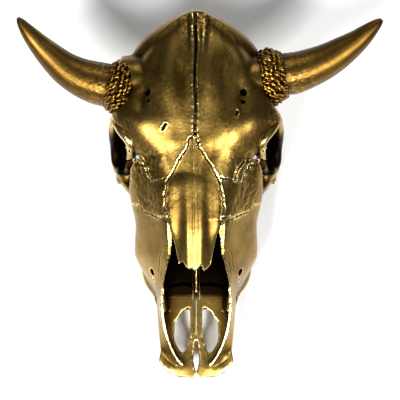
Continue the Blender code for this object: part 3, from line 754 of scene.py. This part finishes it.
def noise(points, step, seed=0.0):
    """Smooth noise from -1 to 1 that changes over a length, at each point."""
    place = points / step + np.array((11.3, 27.7, 5.1)) * (1 + seed)
    corner = np.floor(place).astype(int)
    t = place - corner
    t = t * t * (3 - 2 * t)
    value = np.zeros(len(points))
    for i in (0, 1):
        for j in (0, 1):
            for k in (0, 1):
                weight = np.where(i, t[:, 0], 1 - t[:, 0])
                weight = weight * np.where(j, t[:, 1], 1 - t[:, 1])
                weight = weight * np.where(k, t[:, 2], 1 - t[:, 2])
                at = (corner + (i, j, k)) % LATTICE_SIZE
                value += weight * LATTICE[at[:, 0], at[:, 1], at[:, 2]]
    return value * 2 - 1


def rough_noise(points, step, octaves=3, seed=0.0):
    total = np.zeros(len(points))
    for octave in range(octaves):
        total += noise(points, step / 2**octave, seed + octave) / 2**octave
    return total


def ramp(value, low, high):
    """0 below low, 1 above high and a smooth rise between."""
    t = np.clip((value - low) / (high - low), 0, 1)
    return t * t * (3 - 2 * t)


def ragged(outline, closed=True, stray=SUTURE_STRAY, step=SUTURE_STEP):
    """An outline of (x, y) points cut into short steps that stray as a suture does, but for the midline."""
    points = [np.array(p, float) for p in outline]
    dense = []
    for a, b in zip(points, points[1:] + points[:closed]):
        count = max(1, round(np.linalg.norm(b - a) / step))
        dense += [a + (b - a) * i / count for i in range(count)]
    dense = np.array(dense)
    flat = np.column_stack([dense, np.zeros(len(dense))])
    off = np.column_stack([noise(flat, 3.1, 1), noise(flat, 3.1, 2)])
    off += 0.6 * np.column_stack([noise(flat, 9.0, 3), noise(flat, 9.0, 4)])
    return dense + off * stray * ramp(abs(dense[:, 0]), 0.5, 6)[:, None]


def distance_to_line(points, line):
    """How far each (x, y) point is from a line of points."""
    best = np.full(len(points), 1e9)
    line = np.array(line, float)
    for a, b in zip(line[:-1], line[1:]):
        run = b - a
        t = np.clip(((points - a) @ run) / max(run @ run, 1e-9), 0, 1)
        best = np.minimum(best, np.linalg.norm(points - a - t[:, None] * run, axis=1))
    return best


def alveolar_height(y):
    """The height of the bony edge over the teeth at a station."""
    return -10 - PALATE_SLOPE * (y - 106)


def face_loft():
    rows = []
    for y, top, shoulder, widest, edge in FACE:
        wall = ((shoulder[0] + widest[0]) / 2 + 3, (shoulder[1] + widest[1]) / 2 + 2)
        low = ((widest[0] + edge[0]) / 2, (widest[1] + edge[1]) / 2)
        rows.append([y, 0, top, *shoulder, *wall, *widest, *low, *edge, 0, edge[1] + 1])
    rings = []
    for row in curve_through(rows, 80):
        half = [tuple(p) for p in row[1:].reshape(-1, 2)]
        other = [(-x, z) for x, z in reversed(half[1:-1])]
        rings.append(along_y(closed_curve(half + other, RING_POINTS), row[0]))
    return loft("face", rings)


def section_loft(name, rows, steps, round_down=2.2):
    """A loft along Y through rows of station, half-width, top, middle, bottom and roundness."""
    rings = []
    for y, width, top, middle, bottom, round_up in curve_through(rows, steps):
        ring = superellipse(max(width, 1), top - middle, middle - bottom, round_up, round_down)
        rings.append(along_y(ring + (0, middle), y))
    return loft(name, rings)


def occiput_loft():
    rings = []
    for z, width, side, back, front, gable in curve_through(OCCIPUT, 60):
        ring = superellipse(width, back - side, side - front, gable, 2.4)
        rings.append(np.column_stack([ring[:, 0], ring[:, 1] + side, np.full(len(ring), z)]))
    return loft("occiput", rings)


def build_core():
    """The bulky bone, fused, with its hollows cut out."""
    pieces = [
        face_loft(),
        section_loft("frontal", FRONTAL, 80, 1.15),
        section_loft("braincase", BRAINCASE, 40),
        occiput_loft(),
    ]
    for form in (CHEEK, MASTOID, JAW_JOINT, CONDYLE, BULLA):
        pieces += both(ball("form_right", *form))
    for line in (HORN_NECK, EAR, JUGULAR):
        pieces += both(tube("form_right", line))
    pieces.append(tube("base", SKULL_BASE, flat=SKULL_BASE_HALF_WIDTH))
    core = join("core", pieces)
    fuse(core, CORE_VOXEL, 6)
    hollows = [cavity_cutter(), opening_cutter(), palate_cutter()]
    hollows += both(ball("orbit_right", ORBIT_CENTRE, ORBIT_SIZE))
    hollows += both(ball("fossa_right", *TEMPORAL_FOSSA))
    hollows.append(tube("foramen_magnum", FORAMEN_MAGNUM, flat=FORAMEN_MAGNUM_HALF_WIDTH))
    for hollow in hollows:
        cut(core, hollow)
    return core


def cavity_cutter():
    rings = []
    for y, top, narrow, wide, floor in curve_through(NASAL_CAVITY, 50):
        middle = (top + floor) / 2 - 6
        half = [(0, top), (narrow, top - 4), (wide, middle), (wide * 0.8, floor + 3), (0, floor)]
        other = [(-x, z) for x, z in reversed(half[1:-1])]
        rings.append(along_y(closed_curve(half + other, RING_POINTS), y))
    return loft("nasal_cavity", rings)


def opening_cutter():
    """Takes away all that stands above the edge of the nasal opening."""
    side, roof = OPENING_CUT
    profile = list(OPENING_EDGE) + [(OPENING_EDGE[-1][0], roof), (OPENING_EDGE[0][0], roof)]
    return between_ends("nasal_opening", *([(x, y, z) for y, z in profile] for x in (-side, side)))


def palate_cutter():
    """The vault of the palate, and the opening behind it between the two wings of bone."""
    rings = []
    for y in np.linspace(*PALATE_RUN, 50):
        rise = PALATE_RISE + max(0, y - THROAT_RISE[0]) * THROAT_RISE[1]
        width = PALATE_HALF_WIDTH - max(0, y - THROAT_NARROWING[0]) * THROAT_NARROWING[1]
        ring = superellipse(width, rise + 4, PALATE_DEPTH, PALATE_ROUNDNESS, PALATE_ROUNDNESS)
        rings.append(along_y(ring + (0, alveolar_height(y) - 4), y))
    return loft("palate", rings)


def nasal_middle(y):
    """Where the middle of both nasal bones lies at a station."""
    start, end = NASAL_LEAN_RUN
    return NASAL_SHIFT + NASAL_LEAN * min(max((end - y) / (end - start), 0), 1)


def nasal_shell():
    rings = []
    for y, width, top, edge in curve_through(NASALS, 60):
        across = np.linspace(-1, 1, 41)
        middle = nasal_middle(y)
        upper = [(a * width + middle, edge + (top - edge) * (1 - abs(a) ** NASAL_ROUNDNESS)) for a in across]
        lower = [(x, z - NASAL_THICKNESS) for x, z in reversed(upper)]
        rings.append(along_y(upper + lower, y))
    shell = loft("nasals", rings)
    cut(shell, prism("tips", NASAL_TIPS, 40, 120))
    return shell


def incisive_wall():
    rings = []
    for row in curve_through([(y, *top, *low) for y, top, low in INCISIVE], 50):
        y, top_x, top_z, low_x, low_z = row
        half = INCISIVE_THICKNESS / 2
        ring = [
            (top_x - half, top_z),
            (top_x, top_z + 1.5),
            (top_x + half, top_z),
            ((top_x + low_x) / 2 + half + 1.5, (top_z + low_z) / 2),
            (low_x + half, low_z + 2),
            (low_x - 1, low_z - 2),
            (low_x - 6, low_z + 1),
            ((top_x + low_x) / 2 - half, (top_z + low_z) / 2),
        ]
        rings.append(along_y(closed_curve(ring, 48), y))
    return loft("incisive_wall_right", rings)


def incisive_plates():
    """The flat part of both incisive bones, with the two oval openings and the slit between."""
    height, slope = INCISIVE_PLATE_HEIGHT
    half = INCISIVE_PLATE_THICKNESS / 2
    outline = closed_curve(INCISIVE_PLATE, 160)
    outline[:, 0] = np.maximum(outline[:, 0], -0.5)
    outline[:, 1] = np.maximum(outline[:, 1], MUZZLE_END)
    halves = both(prism("plate_right", outline, height - half, height + half, slope))
    plate = join("incisive_plates", halves)
    fuse(plate, PLATE_VOXEL, 2)
    opening = closed_curve(INCISIVE_OPENING, 120)
    low, high = height - PLATE_CUT, height + PLATE_CUT
    for cutter in both(prism("opening_right", opening, low, high, slope)):
        cut(plate, cutter)
    cut(plate, prism("slit", INCISIVE_SLIT, low, high, slope))
    return plate


def teeth():
    """The cheek teeth of the right side, hanging from the bony edge above them."""
    pieces = []
    total = sum(length for length, width in TEETH)
    start, end = Vector(TOOTH_ROW_START), Vector(TOOTH_ROW_END)
    run = 0.0
    for i, (length, width) in enumerate(TEETH):
        place = start.lerp(end, (run + length / 2) / total)
        run += length
        top = alveolar_height(place.y) + 8
        centre = (place.x, place.y + 2.5, top - (CROWN_HEIGHT + 8) / 2)
        pieces.append(box(f"tooth_{i}_right", centre, (width, length * 1.03, CROWN_HEIGHT + 8), -16.6, 3.0))
    return pieces


def build_bone():
    """The whole skull as one skin."""
    core = build_core()
    pieces = [core, nasal_shell()]
    pieces += both(incisive_wall())
    pieces.append(incisive_plates())
    pieces.append(tube("vomer_crest", VOMER, flat=VOMER_HALF_WIDTH))
    pieces += both(tube("arch_right", ARCH, flat=ARCH_HALF_DEPTH, steps=60))
    rim = [(*point, 5.5) for point in ORBIT_RIM] + [(*ORBIT_RIM[0], 5.5)]
    pieces += both(tube("rim_right", rim, steps=90, sides=24))
    pieces += both(tube("bar_right", ORBIT_BAR, flat=ORBIT_BAR_HALF_WIDTH))
    pieces += both(tube("orbit_floor_right", ORBIT_FLOOR, flat=ORBIT_FLOOR_HALF_WIDTH))
    for tooth in teeth():
        pieces += both(tooth)
    pieces += both(tube("pterygoid_right", PTERYGOID, flat=PTERYGOID_HALF_WIDTH))
    pieces += both(ball("knob_right", *LACRIMAL_KNOB))
    bone = join("bone", pieces)
    fuse(bone, BONE_VOXEL, 5)
    for start, end, radius in FORAMINA:
        for hole in both(tube("foramen_right", ((*start, radius), (*end, radius)), steps=3, sides=24)):
            cut(bone, hole)
    return bone


def carve(bone):
    """Moves the surface of the bone along its normals: swells, hollows, grooves and rough places."""
    points, normals = points_of(bone.data), normals_of(bone.data)
    flat = points[:, :2]
    ledge = np.interp(points[:, 1], *CARVED_ABOVE)
    facing = ramp(normals[:, 2], 0.15, 0.5) * ramp(points[:, 2] - ledge, 0, 16)
    move = np.zeros(len(points))
    for (x, y), (across, along), turn, height in SWELLS:
        c, s = math.cos(math.radians(turn)), math.sin(math.radians(turn))
        away = flat - (x, y)
        u = (away[:, 0] * c + away[:, 1] * s) / across
        v = (away[:, 1] * c - away[:, 0] * s) / along
        move += facing * height * np.exp(-(u * u + v * v) / SWELL_SOFTNESS)
    stray = np.column_stack([noise(points, 3.0, 5), noise(points, 3.0, 6)])
    lines = [(curve_through(line, len(line) * 6), *form, *GROOVE_HEIGHTS) for line, *form in GROOVES]
    runs = [(ragged(outline), SUTURE_FORM, heights) for outline, *heights in SUTURE_LINES]
    runs.append((ragged(INCISIVE_SUTURE[3:7], closed=False), INCISIVE_FORM, INCISIVE_HEIGHTS))
    for path, form, heights in runs:
        lines += [(path, *form, *heights), (path * (-1, 1), *form, *heights)]
    edge = np.interp(points[:, 1], *np.array(NASAL_SUTURE, float).T) - NASAL_EDGE
    nasal = (abs(points[:, 0] - NASAL_SHIFT) < edge) & (points[:, 1] < NASAL_END)
    nasal &= points[:, 2] > NASAL_SKIN
    steps = [(line, ~nasal) for line in lines]
    for side in (1, -1):
        outline = nasal_outline(side)
        outline = outline[outline[:, 1] > NASAL_SET_IN]
        steps.append(((outline, *NASAL_FORM, *NASAL_HEIGHTS), True))
    for (path, width, depth, lips, low, high), allowed in steps:
        inside = allowed & (points[:, 2] > low) & (points[:, 2] < high)
        near = np.where((distance_to_box(flat, path) < 8) & inside)[0]
        d = distance_to_line(flat[near] + stray[near] * 0.5, path) / width
        move[near] -= facing[near] * depth * np.exp(-d * d)
        move[near] += facing[near] * lips * np.exp(-((d - 1.9) ** 2) / 0.7) * (1 + 0.6 * stray[near, 0])
    for (x, y), reach, height in ROUGH_PLACES:
        near = np.exp(-((abs(flat[:, 0]) - x) ** 2 + (flat[:, 1] - y) ** 2) / reach**2)
        move += near * height * rough_noise(points, 4.5, 3, 20)
    move += 0.25 * noise(points, 16, 8)
    move += 0.05 * rough_noise(points, 2.6, 2, 9)
    set_points(bone.data, points + normals * move[:, None])


def distance_to_box(points, path):
    low, high = path.min(0), path.max(0)
    away = np.maximum(np.maximum(low - points, points - high), 0)
    return np.linalg.norm(away, axis=1)


def nasal_outline(side):
    """The suture round one nasal bone, which is ragged only where the bone is set in the face."""
    rows = ((120, 19), *NASAL_SUTURE)
    outer = [(nasal_middle(y) + side * (x + 1), y) for y, x in rows]
    line = ragged(outer, closed=False)
    free = line[:, 1] < NASAL_SET_IN
    line[free, 0] += side * NASAL_EDGE
    return line


def nasal_region(side):
    low, slope = NASAL_BED
    middle = NASAL_SHIFT + (SUTURE_GAP / 2 if side > 0 else 3)
    inner = [(middle, y) for y in (320, 140)]
    return prism("region", [*inner, *nasal_outline(side)], low, ROOF, slope)


def merged(body, other):
    boolean(body, other, "UNION")
    remove(other)
    return body


def incisive_region():
    low, slope = INCISIVE_BED
    body = prism("region", ragged(INCISIVE_SUTURE), low, ROOF, slope)
    front = prism("front", INCISIVE_FRONT, *INCISIVE_FRONT_DEPTHS)
    return merged(body, front)


def maxilla_region():
    body = prism("region", ragged(MAXILLA_SUTURE), CELLAR, ROOF)
    tuber = prism("tuber", MAXILLA_TUBER, CELLAR, MAXILLA_TUBER_TOP)
    return merged(body, tuber)


def frontal_region(side):
    start = SUTURE_GAP / 2 if side > 0 else -3
    outline = [(FRONTAL_SHIFT + side * max(x, start), y) for x, y in FRONTAL_SUTURE]
    body = prism("region", outline, FRONTAL_BASE, ROOF)
    neck = prism("neck", [(side * x, y) for x, y in HORN_NECK_SUTURE], TEMPORAL_TOP, ROOF)
    return merged(body, neck)


def part_bones(bone):
    """Parts the skull into its bones along the sutures. What is left over is the braincase."""
    part_off(bone, "nasal_right", nasal_region(1))
    part_off(bone, "nasal_left", nasal_region(-1))
    part_off(bone, "vomer", prism("region", VOMER_BED, *VOMER_BED_DEPTHS, VOMER_BED_SLOPE))
    regions = (
        ("incisive_right", incisive_region()),
        ("maxilla_right", maxilla_region()),
        ("zygomatic_right", prism("region", ragged(ZYGOMATIC_SUTURE), *ZYGOMATIC_DEPTHS)),
        ("lacrimal_right", prism("region", ragged(LACRIMAL_SUTURE), LACRIMAL_BASE, ROOF)),
        ("temporal_right", prism("region", ragged(TEMPORAL_SUTURE), TEMPORAL_BASE, TEMPORAL_TOP)),
    )
    for name, region in regions:
        other = mirrored(region)
        part_off(bone, name, region)
        part_off(bone, name.replace("right", "left"), other)
    part_off(bone, "frontal_right", frontal_region(1))
    part_off(bone, "frontal_left", frontal_region(-1))
    keep_largest(bone)
    bone.name = "cranium"
    PIECES["cranium"] = bone


def horn_line(rows, across):
    """The point of a horn's middle line, carried on straight inward, at a distance across."""
    first, second = Vector(rows[0][:3]), Vector(rows[1][:3])
    t = (abs(across) - abs(first.x)) / (abs(second.x) - abs(first.x))
    return first.lerp(second, t)


def streak(horn):
    """Fine grooves along a horn, and growth wrinkles round it near its foot."""
    points, normals = points_of(horn.data), normals_of(horn.data)
    ring = np.arange(len(points)) // HORN_SIDES
    angle = np.arange(len(points)) % HORN_SIDES * (2 * math.pi / HORN_SIDES)
    run = ring * (STREAK_LENGTH / HORN_STEPS)
    round_it = [np.cos(angle) * STREAK_RADIUS, np.sin(angle) * STREAK_RADIUS, run * STREAK_PULL]
    round_it = np.column_stack(round_it)
    thick = 1 - 0.8 * ring / HORN_STEPS
    foot = np.exp(-((run / WRINKLE_REACH) ** 2))
    move = 0.20 * rough_noise(round_it, STREAK_SCALE, 2, 11) * thick
    wavy = np.column_stack([run + 1.5 * noise(points, 12, 3), np.cos(angle) * 5, np.sin(angle) * 5])
    move += foot * (0.4 * noise(wavy, STREAK_SCALE, 12) + 0.3 * rough_noise(points, 3.0, 2, 13))
    move += 0.35 * noise(points, 18, 14) * thick
    set_points(horn.data, points + normals * move[:, None])


def knobbly_collar(rows, side):
    """A band of beads laid round the foot of a horn, fused into one rough skin."""
    random = np.random.default_rng(COLLAR_SEED + side)
    core = [(x, y, z, radius - COLLAR_CORE_DEPTH) for x, y, z, radius in rows]
    pieces = [tube("collar_core", core, steps=20, sides=60)]
    path = curve_through(rows, COLLAR_SAMPLES)
    axis = Vector(path[-1, :3] - path[0, :3]).normalized()
    across = axis.cross(Vector((0, 0, 1))).normalized()
    up = across.cross(axis).normalized()
    for band in range(COLLAR_BANDS):
        share = (band + 0.6) / COLLAR_BANDS
        for i in range(COLLAR_BEADS):
            along = np.clip(share + random.normal(0, ALONG_STRAY), 0.02, 0.98)
            at = path[int(along * (COLLAR_SAMPLES - 1))]
            turns = (i + 0.5 * (band % 2) + random.normal(0, ROUND_STRAY)) / COLLAR_BEADS
            angle = 2 * math.pi * turns
            out = (across * math.cos(angle) + up * math.sin(angle)).normalized()
            round_it = axis.cross(out)
            lean = random.normal(BEAD_LEAN, LEAN_STRAY) * side
            long_way = (round_it * math.cos(lean) + axis * math.sin(lean)).normalized()
            size = random.uniform(*BEAD_SIZES)
            centre = Vector(at[:3]) + out * (at[3] - BEAD_SINK + random.normal(0, HEIGHT_STRAY))
            short_way = out.cross(long_way)
            turn = Matrix((long_way, short_way, out)).transposed().to_4x4()
            shape = bmesh.new()
            bmesh.ops.create_icosphere(shape, subdivisions=2, radius=1.0)
            stretch = Matrix.Diagonal((*(half * size for half in BEAD), 1))
            shape.transform(Matrix.Translation(centre) @ turn @ stretch)
            pieces.append(shaped("bead", shape))
    collar = join("collar", pieces)
    fuse(collar, COLLAR_VOXEL, 1)
    keep_largest(collar)
    points, normals = points_of(collar.data), normals_of(collar.data)
    set_points(collar.data, points + normals * (0.35 * rough_noise(points, 2.4, 2, 15))[:, None])
    return collar


def build_horn(side, rows, bone):
    """A horn and the rough collar at its foot, which both stay clear of the bone."""
    collar_rows = [(*horn_line(rows, across), radius) for across, radius in COLLAR]
    room = tube("room", collar_rows, steps=30, sides=60)
    grow(room, SUTURE_GAP)
    horn = tube("horn", rows, steps=HORN_STEPS, sides=HORN_SIDES)
    streak(horn)
    boolean(bone, room, "DIFFERENCE")
    cut(horn, room)
    keep_largest(horn)
    collar = knobbly_collar(collar_rows, 1 if side == "right" else -1)
    PIECES[f"horn_collar_{side}"] = collar
    PIECES[f"horn_{side}"] = horn


def trim_on_floor(obj):
    cut(obj, box("floor", (0, 250, ORIGIN.z - 30), (300, 500, 60)))


def new_material(name):
    material = bpy.data.materials.new(name)
    material.use_nodes = True
    tree = material.node_tree
    return material, tree, tree.nodes["Principled BSDF"]


def mark_relief_and_shade(obj):
    """Notes how far each place stands out or lies deep, which lightens or darkens the paint, and where
    painted shade lies in the nose and eye sockets.
    """
    mesh = obj.data
    points, normals, edges = points_of(mesh), normals_of(mesh), edges_of(mesh)
    count = len(points)
    links = np.maximum(np.bincount(edges.ravel(), minlength=count), 1)[:, None]
    soft = points.copy()
    found = []
    for step in range(1, 49):
        total = np.column_stack([
            sum(np.bincount(edges[:, k], soft[edges[:, 1 - k], axis], count) for k in (0, 1))
            for axis in range(3)
        ])
        soft = 0.4 * soft + 0.6 * total / links
        if step in (5, 48):
            found.append(((points - soft) * normals).sum(1))
    fine, broad = found
    marks = np.ones((count, 4), np.float32)
    marks[:, 0] = np.clip(0.5 + fine / 0.9, 0, 1)
    marks[:, 1] = np.clip(0.5 + broad / 3.0, 0, 1)
    # The third mark is painted shade: deep in the nose and eye sockets, and over the pieces that lie in the
    # shade inside the nose
    marks[:, 2] = np.maximum(painted_shade_inside(points, normals), PAINTED_SHADE_PIECES.get(obj.name, 0))
    layer = mesh.color_attributes.new("wear", "FLOAT_COLOR", "POINT")
    layer.data.foreach_set("color", marks.ravel())


def painted_shade_inside(points, normals):
    """1 deep inside the nose and the eye sockets, where painted shade darkens the paint, and 0 outside them.
    """
    x, y, z = abs(points[:, 0]), points[:, 1], points[:, 2]
    stations, tops, _, wide, floors = np.array(NASAL_CAVITY, float).T
    edge = np.interp(y, *np.array(OPENING_EDGE, float).T)
    under_roof, past_side, below_floor = NOSE_MARGINS
    roof_fade, side_fade, floor_fade = NOSE_FADES
    start, full, end = NOSE_RUN
    roof = np.minimum(np.interp(y, stations, tops), edge) - under_roof
    side = np.interp(y, stations, wide) + past_side
    floor = np.interp(y, stations, floors) - below_floor
    inward = ramp(np.sign(points[:, 0]) * normals[:, 0], 0.35, 0.15)
    nose = ramp(roof - z, 0, roof_fade) * ramp(side - x, 0, side_fade) * ramp(z - floor, 0, floor_fade)
    nose *= ramp(y, start, full) * (y < end) * inward
    centre = ORBIT_CENTRE * np.where(points[:, :1] < 0, (-1, 1, 1), (1, 1, 1))
    eye = (points - centre) / (ORBIT_SIZE + np.array((2, 3, 3)))
    socket = ramp(1.08 - np.linalg.norm(eye, axis=1), 0, 0.1) * ramp(48 - z, 0, 30)
    return np.maximum(nose, 0.75 * socket)


def gold(name, tones, rough, coarseness, grain):
    """Gold paint: brown in the hollows, with painted shade where they are closed in and deep in the nose and
    eye sockets, bright where it stands out, with a hammered grain.
    """
    material, tree, shader = new_material(name)

    def node(kind, **inputs):
        made = tree.nodes.new("ShaderNode" + kind)
        for key, value in inputs.items():
            numbered = key[0] == "i" and key[1:].isdigit()
            socket = made.inputs[int(key[1:]) if numbered else key]
            if isinstance(value, bpy.types.NodeSocket):
                tree.links.new(value, socket)
            else:
                socket.default_value = value
        return made

    def calc(operation, a, b, clamp=False):
        made = node("Math", i0=a, i1=b)
        made.operation = operation
        made.use_clamp = clamp
        return made.outputs[0]

    place = node("TexCoord").outputs["Object"]
    wear = node("Attribute")
    wear.attribute_name = "wear"
    marks = node("SeparateColor", i0=wear.outputs["Color"])
    fine, broad, inside = marks.outputs

    def speckle(scale, detail, roughness=0.6):
        return node("TexNoise", Vector=place, Scale=scale, Detail=detail, Roughness=roughness).outputs["Fac"]

    blotch, mottle, dust = speckle(18, 2), speckle(240, 3), speckle(900, 3)
    # Ambient occlusion paints shade into the hollows, darkening the tone where little light would reach
    shade = node("AmbientOcclusion", Distance=0.022)
    shade.samples = 6
    signals = (fine, broad, shade.outputs["AO"], blotch, mottle)
    tone = BASE_TONE
    for signal, (middle, share) in zip(signals, TONE_SHARES):
        tone = calc("ADD", calc("MULTIPLY", calc("SUBTRACT", signal, middle), share), tone)
    # Painted shade: deep in the nose, in the eye sockets and over the vomer the tone is pulled down to near
    # black
    tone = calc("SUBTRACT", tone, calc("MULTIPLY", inside, 1.1), True)
    colours = node("ValToRGB", Fac=tone)
    band = colours.color_ramp
    band.elements[0].color = (*tones[0], 1)
    band.elements[1].color = (*tones[-1], 1)
    for i, middle in enumerate(tones[1:-1], 1):
        band.elements.new(i / (len(tones) - 1)).color = (*middle, 1)
    tree.links.new(colours.outputs["Color"], shader.inputs["Base Color"])
    shader.inputs["Metallic"].default_value = 1.0
    gloss = calc("ADD", rough, calc("MULTIPLY", calc("SUBTRACT", mottle, 0.5), 0.2))
    gloss = calc("ADD", gloss, calc("MULTIPLY", calc("SUBTRACT", 0.6, tone), 0.25), True)
    tree.links.new(gloss, shader.inputs["Roughness"])
    coarse = node("Bump", Strength=coarseness, Distance=0.0007, Height=mottle)
    small = node("Bump", Strength=grain, Distance=0.0003, Height=dust, Normal=coarse.outputs["Normal"])
    tree.links.new(small.outputs["Normal"], shader.inputs["Normal"])
    return material


def dress(obj, node, material):
    obj.name = f"gilt_{node}"
    obj.data.materials.clear()
    obj.data.materials.append(material)
    obj.data.shade_smooth()
    obj.data.set_sharp_from_angle(angle=math.radians(48))
    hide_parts(node)
    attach(obj, "root")


def to_world(point):
    """A place in the drawing's millimetres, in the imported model's metres."""
    return (Matrix.Rotation(REST_TILT, 3, "X") @ Vector(point) - ORIGIN) * 0.001


def build_skull():
    bone = build_bone()
    keep_largest(bone)
    carve(bone)
    build_horn("left", HORN_LEFT, bone)
    build_horn("right", HORN_RIGHT, bone)
    part_bones(bone)
    tip = Matrix.Rotation(REST_TILT, 4, "X")
    scale = Matrix.Scale(0.001, 4) @ Matrix.Translation(-ORIGIN)
    paints = {f"gold_{kind}": gold(f"gilt_{kind}", *paint) for kind, paint in PAINTS.items()}
    for name, obj in PIECES.items():
        mark_relief_and_shade(obj)
        obj.data.transform(tip)
        if name in FLOOR_BONES:
            trim_on_floor(obj)
        obj.data.transform(scale)
        slot = "gold_collar" if "collar" in name else "gold_horn" if "horn" in name else "gold_bone"
        dress(obj, name, paints[slot])


# The camera looks straight into the face, from a distance in mm, with so many mm to a pixel
CAMERA_PLACE = (4.9, 234.7, 80.0)
CAMERA_DISTANCE = 1600.0
PIXEL_SIZE = 1.26
PIXELS = 400

# The studio, in metres and watts: each light with its place, its size and its power
LIGHTS = (
    ("left", (-0.6, -1.0, 1.5), (0.4, 0.45), 46),
    ("right", (0.6, -1.0, 1.5), (0.35, 0.45), 37),
    ("back", (0.1, 1.6, 1.6), (1.4, 0.5), 16),
)
LIGHT_TARGET = (0, 0, 0.1)
SKY_STRENGTH = 0.065
FLOOR_HALF = 4
FLOOR_COLOUR = (0.9, 0.9, 0.89, 1)
FLOOR_ROUGHNESS = 0.8


def add_camera():
    camera = bpy.data.cameras.new("camera")
    camera.sensor_width = 36
    camera.lens = camera.sensor_width * CAMERA_DISTANCE / (PIXELS * PIXEL_SIZE)
    camera.clip_end = 20
    obj = placed("camera", camera)
    x, y, z = CAMERA_PLACE
    place = to_world((x, y, z + CAMERA_DISTANCE))
    obj.matrix_world = Matrix.Translation(place) @ Matrix.Rotation(REST_TILT, 4, "X")
    bpy.context.scene.camera = obj


def add_floor():
    corners = [(x * FLOOR_HALF, y * FLOOR_HALF, 0) for x, y in ((-1, -1), (1, -1), (1, 1), (-1, 1))]
    floor = mesh_object("floor", corners, [(0, 1, 2, 3)])
    material, _, shader = new_material("floor")
    shader.inputs["Base Color"].default_value = FLOOR_COLOUR
    shader.inputs["Roughness"].default_value = FLOOR_ROUGHNESS
    floor.data.materials.append(material)


def add_light(name, place, size, power):
    light = bpy.data.lights.new(name, "AREA")
    light.shape = "RECTANGLE"
    light.size, light.size_y = size
    light.energy = power
    obj = placed(name, light)
    obj.location = place
    obj.rotation_mode = "QUATERNION"
    obj.rotation_quaternion = (Vector(place) - Vector(LIGHT_TARGET)).to_track_quat("Z", "Y")


def add_studio():
    world = bpy.data.worlds.new("studio")
    bpy.context.scene.world = world
    world.use_nodes = True
    background = world.node_tree.nodes["Background"]
    background.inputs["Color"].default_value = (1, 1, 1, 1)
    background.inputs["Strength"].default_value = SKY_STRENGTH
    for light in LIGHTS:
        add_light(*light)
    bpy.context.scene.view_settings.view_transform = "Standard"


build_skull()
add_floor()
add_studio()
add_camera()
